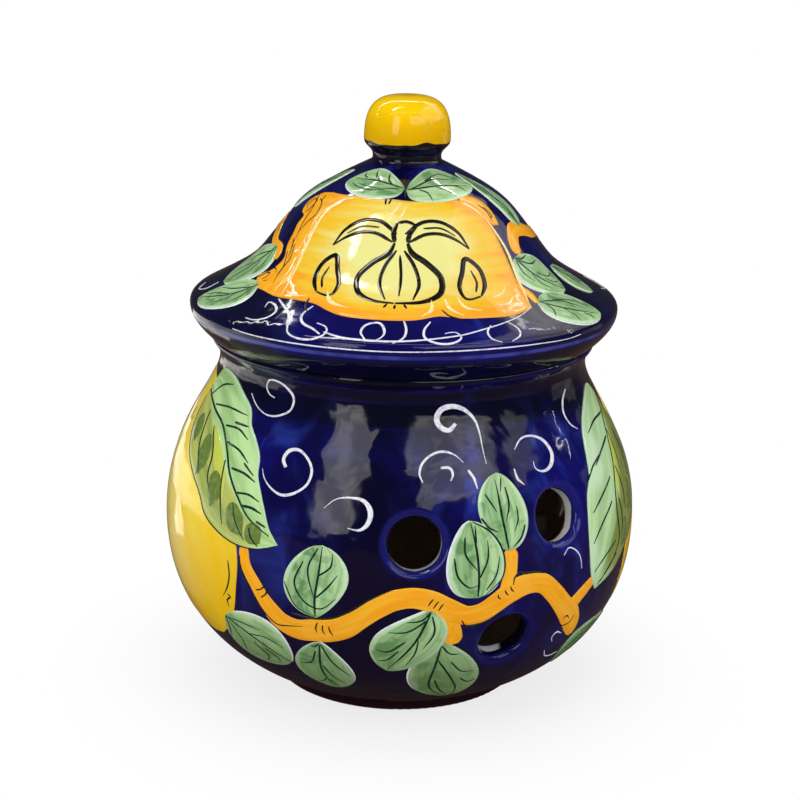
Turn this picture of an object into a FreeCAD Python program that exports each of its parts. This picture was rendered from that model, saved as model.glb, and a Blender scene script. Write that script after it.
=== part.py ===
import FreeCAD, Part
import math
import os

from FreeCAD import Vector

# Garlic keeper: a round vented jar with a domed lid that lifts off.
# Millimetres, +Z up, origin at the centre of the foot, on the surface the jar stands on.
# Azimuths are degrees round the jar from the front, which faces -Y, towards +X.

# ---- Jar
FOOT_DIAMETER = 84.0
FOOT_HEIGHT = 3.0            # height at which the foot ring runs into the belly
FOOT_RING_WIDTH = 8.0
FOOT_RECESS = 2.0            # depth of the trimmed hollow inside the foot ring
FOOT_EDGE_RADIUS = 0.8
BELLY_DIAMETER = 160.8
BELLY_HEIGHT = 58.5
NECK_DIAMETER = 124.0
NECK_BELOW_RIM = 7.5
RIM_FLARE = 3.75             # of the rim beyond the neck, before its edges are rounded
RIM_HEIGHT = 121.0
RIM_FLARE_ANGLE = 60.0       # of the wall at the rim's outer edge, from level
RIM_EDGE_RADIUS = 1.4
WALL = 7.0                   # of the jar's side
FLOOR = 6.0                  # of the jar's bottom
FLOOR_ROUND = 12.0           # between the floor and the side, inside
BELLY_RISE_ANGLE = 23.8      # of the belly where it leaves the foot ring, from level

# How far each free curve holds its end direction, as a share of the span between its ends.
FOOT_HOLD = 0.81
BELLY_HOLD_BELOW = 0.42
BELLY_HOLD_ABOVE = 0.54
NECK_HOLD = 0.19

# ---- Vents
VENT_DIAMETER = 17.0
VENT_OUTER_ROUND = 2.6
VENT_INNER_ROUND = 1.2
VENT_SEAM_TURN = 37.0        # of the cutter about its axis, which keeps its seam off the wall's steepest line
VENT_PLACES = ((3.7, 72.4), (40.7, 76.4), (26.8, 37.2))     # azimuth, height
VENT_GROUPS = (0.0, 180.0)   # the front group and the one behind it

# ---- Lid, heights above the seat, which is the jar's rim
BRIM_OVERHANG = 6.25         # of the brim beyond the rim, all round
BRIM_EDGE_HEIGHT = 10.6
BRIM_TOP_HEIGHT = 15.0       # where the lip's round runs into the top of the brim
BRIM_TOP_INSET = 3.8         # of that place from the brim's edge
BRIM_SLOPE = 27.2
LIP_ROOT_ANGLE = 42.0        # of the lip's underside where it meets the seat, from level
LIP_ROOT_INSET = 0.8         # of that place from the jar's rim
FLARE_DIAMETER = 85.6        # where the brim's hollow sweep turns into the dome
FLARE_HEIGHT = 35.0
FLARE_SLOPE = 50.0
CROWN_DIAMETER = 24.6        # flat disc that the knob stands on
CROWN_HEIGHT = 58.2
CROWN_SLOPE = 25.8
LID_WALL = 6.5
HOLLOW_UNDERCUT = 5.3        # of the hollow beyond the inside of the flange, at its widest
HOLLOW_HEIGHT = 9.0          # of that widest place
CEILING_FLAT_DIAMETER = 10.0 # of the level middle of the hollow under the crown
FLANGE_DEPTH = 9.0           # of the locating flange below the seat
FLANGE_WIDTH = 5.5
FLANGE_CLEARANCE = 1.8       # all round, between the flange and the jar's neck
FLANGE_EDGE_RADIUS = 1.6
SEAT_EDGE_RADIUS = 0.8

BRIM_HOLD = 0.89
FLARE_HOLD = 0.47
DOME_HOLD = 0.41
CROWN_HOLD = 0.84

# ---- Knob, heights above the crown
KNOB_DIAMETER = 28.8
KNOB_WIDEST_HEIGHT = 7.4
KNOB_NECK_DIAMETER = 22.8
KNOB_NECK_HEIGHT = 1.6
KNOB_HEIGHT = 21.6
KNOB_TOP_FLAT_DIAMETER = 5.0
KNOB_SIDE_HOLD = 0.72
KNOB_TOP_HOLD = 0.72

# ---- Sizes that follow from the ones above
NECK_HEIGHT = RIM_HEIGHT - NECK_BELOW_RIM
RIM_RADIUS = NECK_DIAMETER / 2 + RIM_FLARE
FLOOR_HEIGHT = FOOT_RECESS + FLOOR
NECK_INSIDE_RADIUS = NECK_DIAMETER / 2 - WALL
MOUTH_RADIUS = RIM_RADIUS - WALL
FLANGE_RADIUS = NECK_INSIDE_RADIUS - FLANGE_CLEARANCE
FLANGE_INSIDE_RADIUS = FLANGE_RADIUS - FLANGE_WIDTH
HOLLOW_RADIUS = FLANGE_INSIDE_RADIUS + HOLLOW_UNDERCUT
BRIM_RADIUS = RIM_RADIUS + BRIM_OVERHANG
CROWN_Z = RIM_HEIGHT + CROWN_HEIGHT

AXIS_FOOT = Vector(0, 0, 0)
UP = Vector(0, 0, 1)


def place(radius, height):
    """A point of a profile, which lies in the XZ plane."""
    return Vector(radius, 0, height)


def heading(angle):
    """Unit direction in the profile plane, in degrees anticlockwise from outwards."""
    return Vector(math.cos(math.radians(angle)), 0, math.sin(math.radians(angle)))


def sweep(start, start_angle, start_hold, end, end_angle, end_hold):
    """Free curve that leaves start and reaches end in the given directions."""
    curve = Part.BezierCurve()
    curve.setPoles([start, start + heading(start_angle) * start_hold,
                    end - heading(end_angle) * end_hold, end])
    return curve


def line(start, end):
    return Part.LineSegment(start, end)


def turned(curves):
    """Solid of revolution about the jar's axis from a closed profile."""
    wire = Part.Wire([curve.toShape() for curve in curves])
    return Part.Face(wire).revolve(AXIS_FOOT, UP, 360).Solids[0]


def ring_edge(solid, radius, height):
    """The circular edge of a turned solid at one radius and height."""
    for edge in solid.Edges:
        circle = edge.Curve
        if isinstance(circle, Part.Circle) and abs(circle.Radius - radius) < 1e-4:
            if abs(circle.Center.z - height) < 1e-4:
                return edge
    raise ValueError("no edge at radius %.2f, height %.2f" % (radius, height))


def belly_curve(inset, level):
    """Side of the jar from a level up to the belly, moved inwards by inset."""
    across = heading(BELLY_RISE_ANGLE + 90)
    start = place(FOOT_DIAMETER / 2, FOOT_HEIGHT) + across * inset
    start += heading(BELLY_RISE_ANGLE) * ((level - start.z) / math.sin(math.radians(BELLY_RISE_ANGLE)))
    end = place(BELLY_DIAMETER / 2 - inset, BELLY_HEIGHT)
    return sweep(start, BELLY_RISE_ANGLE, FOOT_HOLD * (end.x - start.x),
                 end, 90, BELLY_HOLD_BELOW * (end.z - start.z))


def shoulder_curve(inset):
    """Side of the jar from the belly to the neck, moved inwards by inset."""
    start = place(BELLY_DIAMETER / 2 - inset, BELLY_HEIGHT)
    end = place(NECK_DIAMETER / 2 - inset, NECK_HEIGHT)
    span = end.z - start.z
    return sweep(start, 90, BELLY_HOLD_ABOVE * span, end, 90, NECK_HOLD * span)


def rim_curve(inset):
    """Side of the jar from the neck to the rim, moved inwards by inset."""
    start = place(NECK_DIAMETER / 2 - inset, NECK_HEIGHT)
    end = place(RIM_RADIUS - inset, RIM_HEIGHT)
    span = NECK_BELOW_RIM / 2
    return sweep(start, 90, span, end, RIM_FLARE_ANGLE, span)


def vent_axis(azimuth, height):
    """Where a vent's axis leaves the outer wall, and its direction, square to the wall."""
    side = belly_curve(0, FOOT_HEIGHT) if height < BELLY_HEIGHT else shoulder_curve(0)
    level = Part.Plane(place(0, height), UP)
    on_wall = side.intersect(level)[0][0]
    centre = Vector(on_wall.X, on_wall.Y, on_wall.Z)
    along = side.tangent(side.parameter(centre))[0]
    outwards = Vector(along.z, 0, -along.x)
    turn = FreeCAD.Rotation(UP, azimuth - 90)
    return turn.multVec(centre), turn.multVec(outwards)


def vent_edges(solid, centre, outwards, inner):
    """Edges of a cut vent at the outer or the inner face of the wall."""
    found = []
    for edge in solid.Edges:
        if edge.Degenerated:
            continue
        samples = edge.discretize(9)
        offsets = [sample - centre for sample in samples]
        depths = [offset.dot(outwards) for offset in offsets]
        reaches = [offset.cross(outwards).Length for offset in offsets]
        on_bore = max(abs(reach - VENT_DIAMETER / 2) for reach in reaches) < 0.01
        at_inner = max(depths) < -WALL / 2
        at_outer = min(depths) > -WALL / 2 and max(depths) < WALL
        if on_bore and (at_inner if inner else at_outer) and min(depths) > -2 * WALL:
            found.append(edge)
    return found


def cut_vents(solid):
    """Cuts every vent square through the wall and rounds its two edges."""
    for turn in VENT_GROUPS:
        for azimuth, height in VENT_PLACES:
            centre, outwards = vent_axis(azimuth + turn, height)
            cutter = Part.makeCylinder(VENT_DIAMETER / 2, 4 * WALL, centre - outwards * 2.5 * WALL, outwards)
            cutter.rotate(centre, outwards, VENT_SEAM_TURN)
            solid = solid.cut(cutter).Solids[0]
            solid = solid.makeFillet(VENT_OUTER_ROUND, vent_edges(solid, centre, outwards, inner=False))
            solid = solid.makeFillet(VENT_INNER_ROUND, vent_edges(solid, centre, outwards, inner=True))
    return solid.Solids[0]


def jar_body():
    """Bulbous jar with a foot ring, a waisted neck, a flared rim and vents."""
    foot_radius = FOOT_DIAMETER / 2
    recess_radius = foot_radius - FOOT_RING_WIDTH
    outer = [belly_curve(0, FOOT_HEIGHT), shoulder_curve(0), rim_curve(0)]
    inner = [belly_curve(WALL, FLOOR_HEIGHT), shoulder_curve(WALL), rim_curve(WALL)]
    floor_edge = inner[0].StartPoint
    profile = [
        line(place(0, FOOT_RECESS), place(recess_radius, FOOT_RECESS)),
        line(place(recess_radius, FOOT_RECESS), place(recess_radius, 0)),
        line(place(recess_radius, 0), place(foot_radius, 0)),
        line(place(foot_radius, 0), place(foot_radius, FOOT_HEIGHT)),
        *outer,
        line(place(RIM_RADIUS, RIM_HEIGHT), place(MOUTH_RADIUS, RIM_HEIGHT)),
        *reversed(inner),
        line(floor_edge, place(0, FLOOR_HEIGHT)),
        line(place(0, FLOOR_HEIGHT), place(0, FOOT_RECESS)),
    ]
    solid = turned(profile)
    rims = [ring_edge(solid, RIM_RADIUS, RIM_HEIGHT), ring_edge(solid, MOUTH_RADIUS, RIM_HEIGHT)]
    solid = solid.makeFillet(RIM_EDGE_RADIUS, rims)
    solid = solid.makeFillet(FLOOR_ROUND, [ring_edge(solid, floor_edge.x, FLOOR_HEIGHT)])
    feet = [ring_edge(solid, foot_radius, 0), ring_edge(solid, recess_radius, 0),
            ring_edge(solid, recess_radius, FOOT_RECESS)]
    solid = solid.makeFillet(FOOT_EDGE_RADIUS, feet)
    return cut_vents(solid)


def lid():
    """Domed lid with a broad brim, a thick lip and a flange that drops into the neck."""
    seat = RIM_HEIGHT
    lip_root = place(RIM_RADIUS - LIP_ROOT_INSET, seat)
    brim_edge = place(BRIM_RADIUS, seat + BRIM_EDGE_HEIGHT)
    brim_top = place(BRIM_RADIUS - BRIM_TOP_INSET, seat + BRIM_TOP_HEIGHT)
    flare = place(FLARE_DIAMETER / 2, seat + FLARE_HEIGHT)
    crown = place(CROWN_DIAMETER / 2, CROWN_Z)
    lip_span = (brim_edge - lip_root).Length / 3
    round_span = (brim_top - brim_edge).Length / 2.6
    brim_span = brim_top.x - flare.x
    dome_span = flare.x - crown.x
    across = heading(-90 - FLARE_SLOPE)
    under_flare = flare + across * LID_WALL
    under_crown = place(CEILING_FLAT_DIAMETER / 2, CROWN_Z - LID_WALL)
    hollow_root = place(FLANGE_INSIDE_RADIUS, seat)
    hollow_side = place(HOLLOW_RADIUS, seat + HOLLOW_HEIGHT)
    hollow_span = hollow_side.z - hollow_root.z
    vault_span = under_flare.z - hollow_side.z
    flange_foot = seat - FLANGE_DEPTH
    profile = [
        line(place(0, CROWN_Z), crown),
        sweep(crown, -CROWN_SLOPE, CROWN_HOLD * dome_span,
              flare, -FLARE_SLOPE, DOME_HOLD * dome_span),
        sweep(flare, -FLARE_SLOPE, FLARE_HOLD * brim_span,
              brim_top, -BRIM_SLOPE, BRIM_HOLD * brim_span),
        sweep(brim_top, -BRIM_SLOPE, round_span, brim_edge, -90, round_span),
        sweep(brim_edge, -90, lip_span, lip_root, -180 + LIP_ROOT_ANGLE, lip_span),
        line(lip_root, place(FLANGE_RADIUS, seat)),
        line(place(FLANGE_RADIUS, seat), place(FLANGE_RADIUS, flange_foot)),
        line(place(FLANGE_RADIUS, flange_foot), place(FLANGE_INSIDE_RADIUS, flange_foot)),
        line(place(FLANGE_INSIDE_RADIUS, flange_foot), hollow_root),
        sweep(hollow_root, 90, hollow_span / 2, hollow_side, 90, hollow_span / 2),
        sweep(hollow_side, 90, vault_span / 3, under_flare, 180 - FLARE_SLOPE, vault_span / 2),
        sweep(under_flare, 180 - FLARE_SLOPE, DOME_HOLD * dome_span,
              under_crown, 180, DOME_HOLD * dome_span),
        line(under_crown, place(0, under_crown.z)),
        line(place(0, under_crown.z), place(0, CROWN_Z)),
    ]
    solid = turned(profile)
    flange_edges = [ring_edge(solid, FLANGE_RADIUS, flange_foot),
                    ring_edge(solid, FLANGE_INSIDE_RADIUS, flange_foot)]
    solid = solid.makeFillet(FLANGE_EDGE_RADIUS, flange_edges)
    return solid.makeFillet(SEAT_EDGE_RADIUS, [ring_edge(solid, lip_root.x, seat)]).Solids[0]


def lid_knob():
    """Mushroom knob, luted by its flat foot to the crown of the lid."""
    foot = place(CROWN_DIAMETER / 2, CROWN_Z)
    neck = place(KNOB_NECK_DIAMETER / 2, CROWN_Z + KNOB_NECK_HEIGHT)
    widest = place(KNOB_DIAMETER / 2, CROWN_Z + KNOB_WIDEST_HEIGHT)
    top = place(KNOB_TOP_FLAT_DIAMETER / 2, CROWN_Z + KNOB_HEIGHT)
    under_span = (widest.z - neck.z) / 2
    profile = [
        line(place(0, CROWN_Z), foot),
        sweep(foot, 180 - CROWN_SLOPE, KNOB_NECK_HEIGHT / 2, neck, 90, KNOB_NECK_HEIGHT / 2),
        sweep(neck, 90, under_span, widest, 90, under_span),
        sweep(widest, 90, KNOB_SIDE_HOLD * (top.z - widest.z), top, 180, KNOB_TOP_HOLD * (widest.x - top.x)),
        line(top, place(0, top.z)),
        line(place(0, top.z), place(0, CROWN_Z)),
    ]
    return turned(profile)


def export(name, shape):
    shape.exportStep("parts/%s.step" % name)
    print(name, "valid" if shape.isValid() else "INVALID", len(shape.Solids), "solid",
          round(shape.Volume / 1000, 2), "cm3")


os.makedirs("parts", exist_ok=True)
export("jar_body", jar_body())
export("lid", lid())
export("lid_knob", lid_knob())
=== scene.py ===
"""Looks of a hand-painted garlic keeper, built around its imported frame."""

import math
import random

import bpy
import numpy as np
from bpy.props import FloatProperty, FloatVectorProperty, PointerProperty
from mathutils import Matrix, Vector


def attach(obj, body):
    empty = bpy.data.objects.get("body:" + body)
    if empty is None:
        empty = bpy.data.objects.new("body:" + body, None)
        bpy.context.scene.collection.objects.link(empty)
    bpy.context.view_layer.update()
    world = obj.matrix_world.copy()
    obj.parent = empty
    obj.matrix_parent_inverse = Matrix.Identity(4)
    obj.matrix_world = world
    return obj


bl_info = {
    "name": "Painted Garlic Keeper",
    "version": (1, 0, 0),
    "blender": (4, 5, 0),
    "location": "3D View > Sidebar > Keeper",
    "description": "Glazes and paints a lidded garlic keeper with lemons, leaves and scrolls",
    "category": "Object",
}

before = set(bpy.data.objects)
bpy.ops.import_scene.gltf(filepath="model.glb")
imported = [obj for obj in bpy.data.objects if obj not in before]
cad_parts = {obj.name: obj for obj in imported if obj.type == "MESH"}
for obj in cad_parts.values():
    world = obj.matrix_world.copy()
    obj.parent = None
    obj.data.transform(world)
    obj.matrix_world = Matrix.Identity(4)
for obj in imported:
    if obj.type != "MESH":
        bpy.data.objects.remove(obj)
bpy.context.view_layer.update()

MM = 0.001


# ---------------------------------------------------------------- lines

LINE_STEP = 0.8             # mm between the points of a brush line


def run_of(line):
    """How far along the line each of its points lies."""
    return np.r_[0, np.cumsum(np.hypot(*np.diff(line, axis=0).T))]


def sampled(line, run, at):
    """The points of a line at other places of its run."""
    return np.c_[np.interp(at, run, line[:, 0]), np.interp(at, run, line[:, 1])]


def evenly(line, count):
    """The same line as count points at even steps."""
    run = run_of(line)
    return sampled(line, run, np.linspace(0, run[-1], count))


def flowing(points):
    """A smooth line through the points, at about even steps."""
    points = np.asarray(points, float)
    run = run_of(points)
    steps = int(run[-1] / LINE_STEP) + 1
    if len(points) == 2:
        return evenly(points, max(3, steps))
    slope = np.gradient(points, run, axis=0)
    fine = np.linspace(0, run[-1], max(12, int(run[-1] / LINE_STEP * 4)))
    k = np.clip(np.searchsorted(run, fine, side="right") - 1, 0, len(points) - 2)
    span = (run[k + 1] - run[k])[:, None]
    s = (fine - run[k])[:, None] / span
    line = (2 * s**3 - 3 * s**2 + 1) * points[k] + (s**3 - 2 * s**2 + s) * span * slope[k]
    line += (3 * s**2 - 2 * s**3) * points[k + 1] + (s**3 - s**2) * span * slope[k + 1]
    return evenly(line, max(4, steps))


def along(values, count):
    """A few values spread evenly over count places."""
    values = np.atleast_1d(np.asarray(values, float))
    return np.interp(np.linspace(0, 1, count), np.linspace(0, 1, len(values)), values)


def turned(places, turn):
    """The same places a part turn further round."""
    return [(place[0] + turn, *place[1:]) for place in places]


# ---------------------------------------------------------------- the outer faces of the turned pieces

SIDE_AZIMUTH = 90           # degrees; no vent is cut here, so the rings of the mesh are whole
SIDE_SPREAD = 14            # degrees to each side of it
WALL_REACH = 3              # mm, less than any wall, which leaves the inner rings out
RING_REACH = 1.2            # mm of height within which rings are compared
CELLS_PER_MM = 2
SOFTENING = 5               # cells over which the slope is evened out


def outer_rings(node, low, high):
    """Heights and radii of a turned piece's outer face between two heights, in mm."""
    spots = np.array([v.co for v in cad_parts[node].data.vertices]) / MM
    azimuth = np.degrees(np.arctan2(spots[:, 0], -spots[:, 1]))
    clear = np.abs(np.abs(azimuth) - SIDE_AZIMUTH) < SIDE_SPREAD
    spots = spots[clear & (spots[:, 2] >= low) & (spots[:, 2] <= high)]
    rings = {}
    for x, y, z in spots:
        key = round(z, 1)
        rings[key] = max(rings.get(key, (0, 0)), (math.hypot(x, y), z))
    ring = np.array(sorted((z, r) for r, z in rings.values()))
    near = np.abs(ring[:, None, 0] - ring[None, :, 0]) < RING_REACH
    widest = np.where(near, ring[None, :, 1], 0).max(axis=1)
    return ring[ring[:, 1] > widest - WALL_REACH]


def softened(values):
    """The values, each as the mean of its neighbourhood."""
    weights = np.ones(SOFTENING) / SOFTENING
    return np.convolve(np.pad(values, SOFTENING // 2, mode="edge"), weights, mode="valid")


class Skin:
    """The outer face of a turned piece, laid out flat.

    A place on it is an azimuth in degrees, from the front towards +X, and a height in mm. The flat
    chart has true lengths along its second axis and azimuths at one radius along its first.
    """

    def __init__(self, node, body, low, high, chart_radius):
        self.body = body
        self.chart_radius = chart_radius
        ring = outer_rings(node, low, high)
        run = run_of(ring)
        self.run = np.linspace(0, run[-1], int(run[-1] * CELLS_PER_MM))
        self.height, self.radius = sampled(ring, run, self.run).T
        rise = softened(np.gradient(self.height, self.run))
        swell = softened(np.gradient(self.radius, self.run))
        length = np.hypot(rise, swell)
        self.out = rise / length
        self.up = -swell / length

    def chart(self, places):
        """Azimuths and heights as points of the flat chart."""
        places = np.asarray(places, float)
        across = np.radians(places[:, 0]) * self.chart_radius
        return np.c_[across, np.interp(places[:, 1], self.height, self.run)]

    def line(self, places):
        """A smooth chart line through the places."""
        return flowing(self.chart(places))

    def at(self, run, row):
        """What a row of the skin, such as its radius, is that far along it."""
        return np.interp(run, self.run, row)

    def stretch(self, chart):
        """How much wider than on the chart the skin is at these points."""
        return self.at(chart[..., 1], self.radius) / self.chart_radius

    def spots(self, chart, lift):
        """Points in space, in metres, that stand that many mm off the skin."""
        turn = chart[..., 0] / self.chart_radius
        run = chart[..., 1]
        radius = self.at(run, self.radius) + self.at(run, self.out) * lift
        height = self.at(run, self.height) + self.at(run, self.up) * lift
        return np.stack([radius * np.sin(turn), -radius * np.cos(turn), height], -1) * MM

    def drawn(self, centre, sketch):
        """A smooth chart line through a sketch in mm about a place."""
        middle = self.chart([centre])[0]
        sketch = np.asarray(sketch, float)
        run = middle[1] + sketch[:, 1]
        wide = self.at(run, self.radius) / self.chart_radius
        return flowing(np.c_[middle[0] + sketch[:, 0] / wide, run])

    def beside(self, line, offset):
        """The line moved sideways by offset mm, to the left of its direction where positive."""
        wide = self.stretch(line)
        step = np.gradient(line, axis=0)
        step[:, 0] *= wide
        step /= np.hypot(*step.T)[:, None] + 1e-9
        return line + np.c_[-step[:, 1] / wide, step[:, 0]] * np.reshape(offset, (-1, 1))


JAR = Skin("jar_body", "jar", low=3, high=119, chart_radius=75)
LID = Skin("lid", "lifted_lid", low=130.5, high=178.8, chart_radius=45)


# ---------------------------------------------------------------- thin closed shells of paint

BEVEL = 0.1                 # mm that a shell's border lies lower than its middle
ROOT = 0.25                 # mm that a shell reaches into the wall
RIM = 0.25                  # mm over which the border slopes
MOST_RIM = 0.3              # of a shell's length or width
LEAST_WIDTH = 0.12          # mm
CELL_GAP = 0.6              # mm between two shells on the baking sheet
SHEET_SLACK = 1.12          # how much longer the sheet's rows are than a full square's side
BRUSH_LANDS = 0.12          # of a stroke, over which it widens
BRUSH_LIFTS = 0.3           # of a stroke, over which it narrows


def shell_faces(n, m):
    """The faces of a closed shell over a grid of n by m points, as its top, wall and underside."""
    number = np.arange(n * m).reshape(n, m)
    corners = [number[:-1, :-1], number[:-1, 1:], number[1:, 1:], number[1:, :-1]]
    top = np.stack(corners, -1).reshape(-1, 4)
    border = np.r_[number[0, :-1], number[:-1, -1], number[-1, :0:-1], number[:0:-1, 0]]
    follow = np.roll(border, -1)
    wall = np.stack([follow, border, border + n * m, follow + n * m], -1)
    return top, wall, (top + n * m)[:, ::-1]


class Brushwork:
    """Closed shells of paint on one skin, gathered into one mesh."""

    def __init__(self, skin):
        self.skin = skin
        self.spots = []
        self.faces = []
        self.brush_uv = []
        self.bake_uv = []
        self.cells = []
        self.tones = []
        self.count = 0

    def sheet(self, left, right, lift, tone=0.5, crown=0.0, fine=1.6):
        """A shell between two chart lines with the same direction, in cells up to fine mm wide."""
        count = max(len(left), len(right), 6)
        left = evenly(left, count)
        right = evenly(right, count)
        middle = (left + right) / 2
        wide = self.skin.stretch(middle)
        gap = right - left
        width = np.hypot(gap[:, 0] * wide, gap[:, 1])
        length = np.hypot(*(np.diff(middle, axis=0) * np.c_[wide[1:], np.ones(count - 1)]).T).sum()
        tip = min(MOST_RIM, RIM / max(length, 0.1))
        rows = np.r_[0, np.linspace(tip, 1 - tip, count), 1]
        index = rows * (count - 1)
        left = sampled(left, range(count), index)
        right = sampled(right, range(count), index)
        width = np.interp(index, range(count), width)
        rim = np.minimum(MOST_RIM, RIM / np.maximum(width, LEAST_WIDTH))[:, None]
        inner = np.linspace(0, 1, max(2, int(width.max() / fine) + 1))[None, :]
        columns = np.concatenate([rim * 0, rim + (1 - 2 * rim) * inner, 1 + rim * 0], axis=1)
        chart = left[:, None] + (right - left)[:, None] * columns[..., None]
        self.add(chart, rows, columns, lift, tone, (length, width.max()), crown)

    def add(self, chart, rows, columns, lift, tone, size, crown=0.0):
        """One closed shell over a grid of chart points, highest by its crown in the middle."""
        n, m = columns.shape
        heights = np.full((n, m), float(lift))
        heights += crown * (1 - (2 * columns - 1) ** 2) * np.sin(np.pi * rows)[:, None]
        heights[:, [0, -1]] = lift - BEVEL
        heights[[0, -1], :] = lift - BEVEL
        upper = self.skin.spots(chart, heights).reshape(-1, 3)
        under = self.skin.spots(chart, np.full((n, m), -ROOT)).reshape(-1, 3)
        top, wall, underside = shell_faces(n, m)
        faces = np.concatenate([top, wall, underside])
        brush = np.c_[np.broadcast_to(rows[:, None], (n, m)).ravel(), columns.ravel()]
        brush_loops = np.r_[brush, brush][faces]
        bake_loops = brush_loops.copy()
        walls = slice(len(top), len(top) + len(wall))
        bake_loops[walls, 2] = bake_loops[walls, 1]
        bake_loops[walls, 3] = bake_loops[walls, 0]
        bake_loops[walls.stop:, :, 1] = 0
        across = chart[:-1, 1:] - chart[:-1, :-1]
        upward = chart[1:, :-1] - chart[:-1, :-1]
        if (across[..., 0] * upward[..., 1] - across[..., 1] * upward[..., 0]).sum() < 0:
            faces = faces[:, ::-1]
            brush_loops = brush_loops[:, ::-1]
            bake_loops = bake_loops[:, ::-1]
        self.spots.append(np.r_[upper, under])
        self.faces.append(faces + self.count)
        self.brush_uv.append(brush_loops.reshape(-1, 2))
        self.bake_uv.append(bake_loops.reshape(-1, 2))
        self.cells.append(size)
        self.tones.append(np.full(2 * n * m, float(tone)))
        self.count += 2 * n * m

    def between(self, left, right, lift, **more):
        """A shell between two edges given as places."""
        self.sheet(self.skin.line(left), self.skin.line(right), lift, **more)

    def stroke(self, line, width, lift, ends=(0.35, 0.15), tone=0.5, fine=9):
        """A brush stroke along a chart line; width may be a few values along it."""
        t = np.linspace(0, 1, len(line))
        start = ends[0] + (1 - ends[0]) * np.minimum(1, t / BRUSH_LANDS)
        finish = ends[1] + (1 - ends[1]) * np.minimum(1, (1 - t) / BRUSH_LIFTS)
        half = np.maximum(along(width, len(line)) * np.minimum(start, finish) / 2, LEAST_WIDTH)
        self.sheet(self.skin.beside(line, half), self.skin.beside(line, -half), lift, tone, fine=fine)

    def placed(self, places, width, lift, **more):
        """A brush stroke through places."""
        self.stroke(self.skin.line(places), width, lift, **more)

    def cell_corners(self):
        """Where each shell's rectangle lies on the baking sheet, as low corners and sizes."""
        sizes = np.array(self.cells) + CELL_GAP
        row_length = max(math.sqrt(sizes.prod(axis=1).sum()) * SHEET_SLACK, sizes[:, 0].max())
        corners = np.zeros_like(sizes)
        x = y = depth = 0.0
        for k in np.argsort(-sizes[:, 1]):
            if x + sizes[k, 0] > row_length:
                x = 0.0
                y += depth
                depth = 0.0
            corners[k] = (x, y)
            x += sizes[k, 0]
            depth = max(depth, sizes[k, 1])
        side = max(row_length, y + depth)
        return (corners + CELL_GAP / 2) / side, (sizes - CELL_GAP) / side

    def build(self, name, material, slot):
        """The mesh object, riding on the skin's body."""
        mesh = bpy.data.meshes.new(name)
        mesh.from_pydata(np.concatenate(self.spots).tolist(), [], np.concatenate(self.faces).tolist())
        mesh.shade_smooth()
        bake = [c + uv * s for uv, c, s in zip(self.bake_uv, *self.cell_corners())]
        for layer, loops in (("brush_space", self.brush_uv), ("OFBake", bake)):
            sheet = mesh.uv_layers.new(name=layer)
            sheet.data.foreach_set("uv", np.concatenate(loops).ravel().astype(np.float32))
        tone = mesh.attributes.new("tone", "FLOAT", "POINT")
        tone.data.foreach_set("value", np.concatenate(self.tones).astype(np.float32))
        mesh.materials.append(material)
        piece = bpy.data.objects.new(name, mesh)
        bpy.context.scene.collection.objects.link(piece)
        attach(piece, self.skin.body)


# ---------------------------------------------------------------- glazes: arithmetic and what they share

GLOSS = 0.07                # roughness of a melted glaze
GLAZE_INDEX = 1.5           # of refraction
RIPPLE = 0.00022            # m that the glaze's surface rises and falls
SWELL = (44.0, 1.2, 1.3)    # scale per metre, distortion and depth of its slow swell
PITS = (520.0, 0.03)        # scale per metre and depth of its fine pits
DIMPLES = (125.0, 0.5)      # scale per metre and depth of its dimples
DIMPLE_TWIST = 0.6          # distortion of the dimples
TONE_SPREAD = 37            # how far apart two strokes' streaks lie in the noise


def shade(red, green, blue):
    """A colour chart value from 0 to 255 as Blender's linear colour."""
    chart = [c / 255 for c in (red, green, blue)]
    return tuple(c / 12.92 if c < 0.0405 else ((c + 0.055) / 1.055) ** 2.4 for c in chart)


class Field:
    """A value or colour that changes over the glaze, with the usual arithmetic."""

    def __init__(self, glaze, socket):
        self.glaze = glaze
        self.socket = socket

    def __add__(self, other):
        return self.glaze.math("ADD", self, other)

    def __sub__(self, other):
        return self.glaze.math("SUBTRACT", self, other)

    def __rsub__(self, other):
        return self.glaze.math("SUBTRACT", other, self)

    def __mul__(self, other):
        return self.glaze.math("MULTIPLY", self, other)

    def __truediv__(self, other):
        return self.glaze.math("DIVIDE", self, other)

    def __pow__(self, other):
        return self.glaze.math("POWER", self, other)

    def __abs__(self):
        return self.glaze.math("ABSOLUTE", self)

    __radd__ = __add__
    __rmul__ = __mul__


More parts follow.
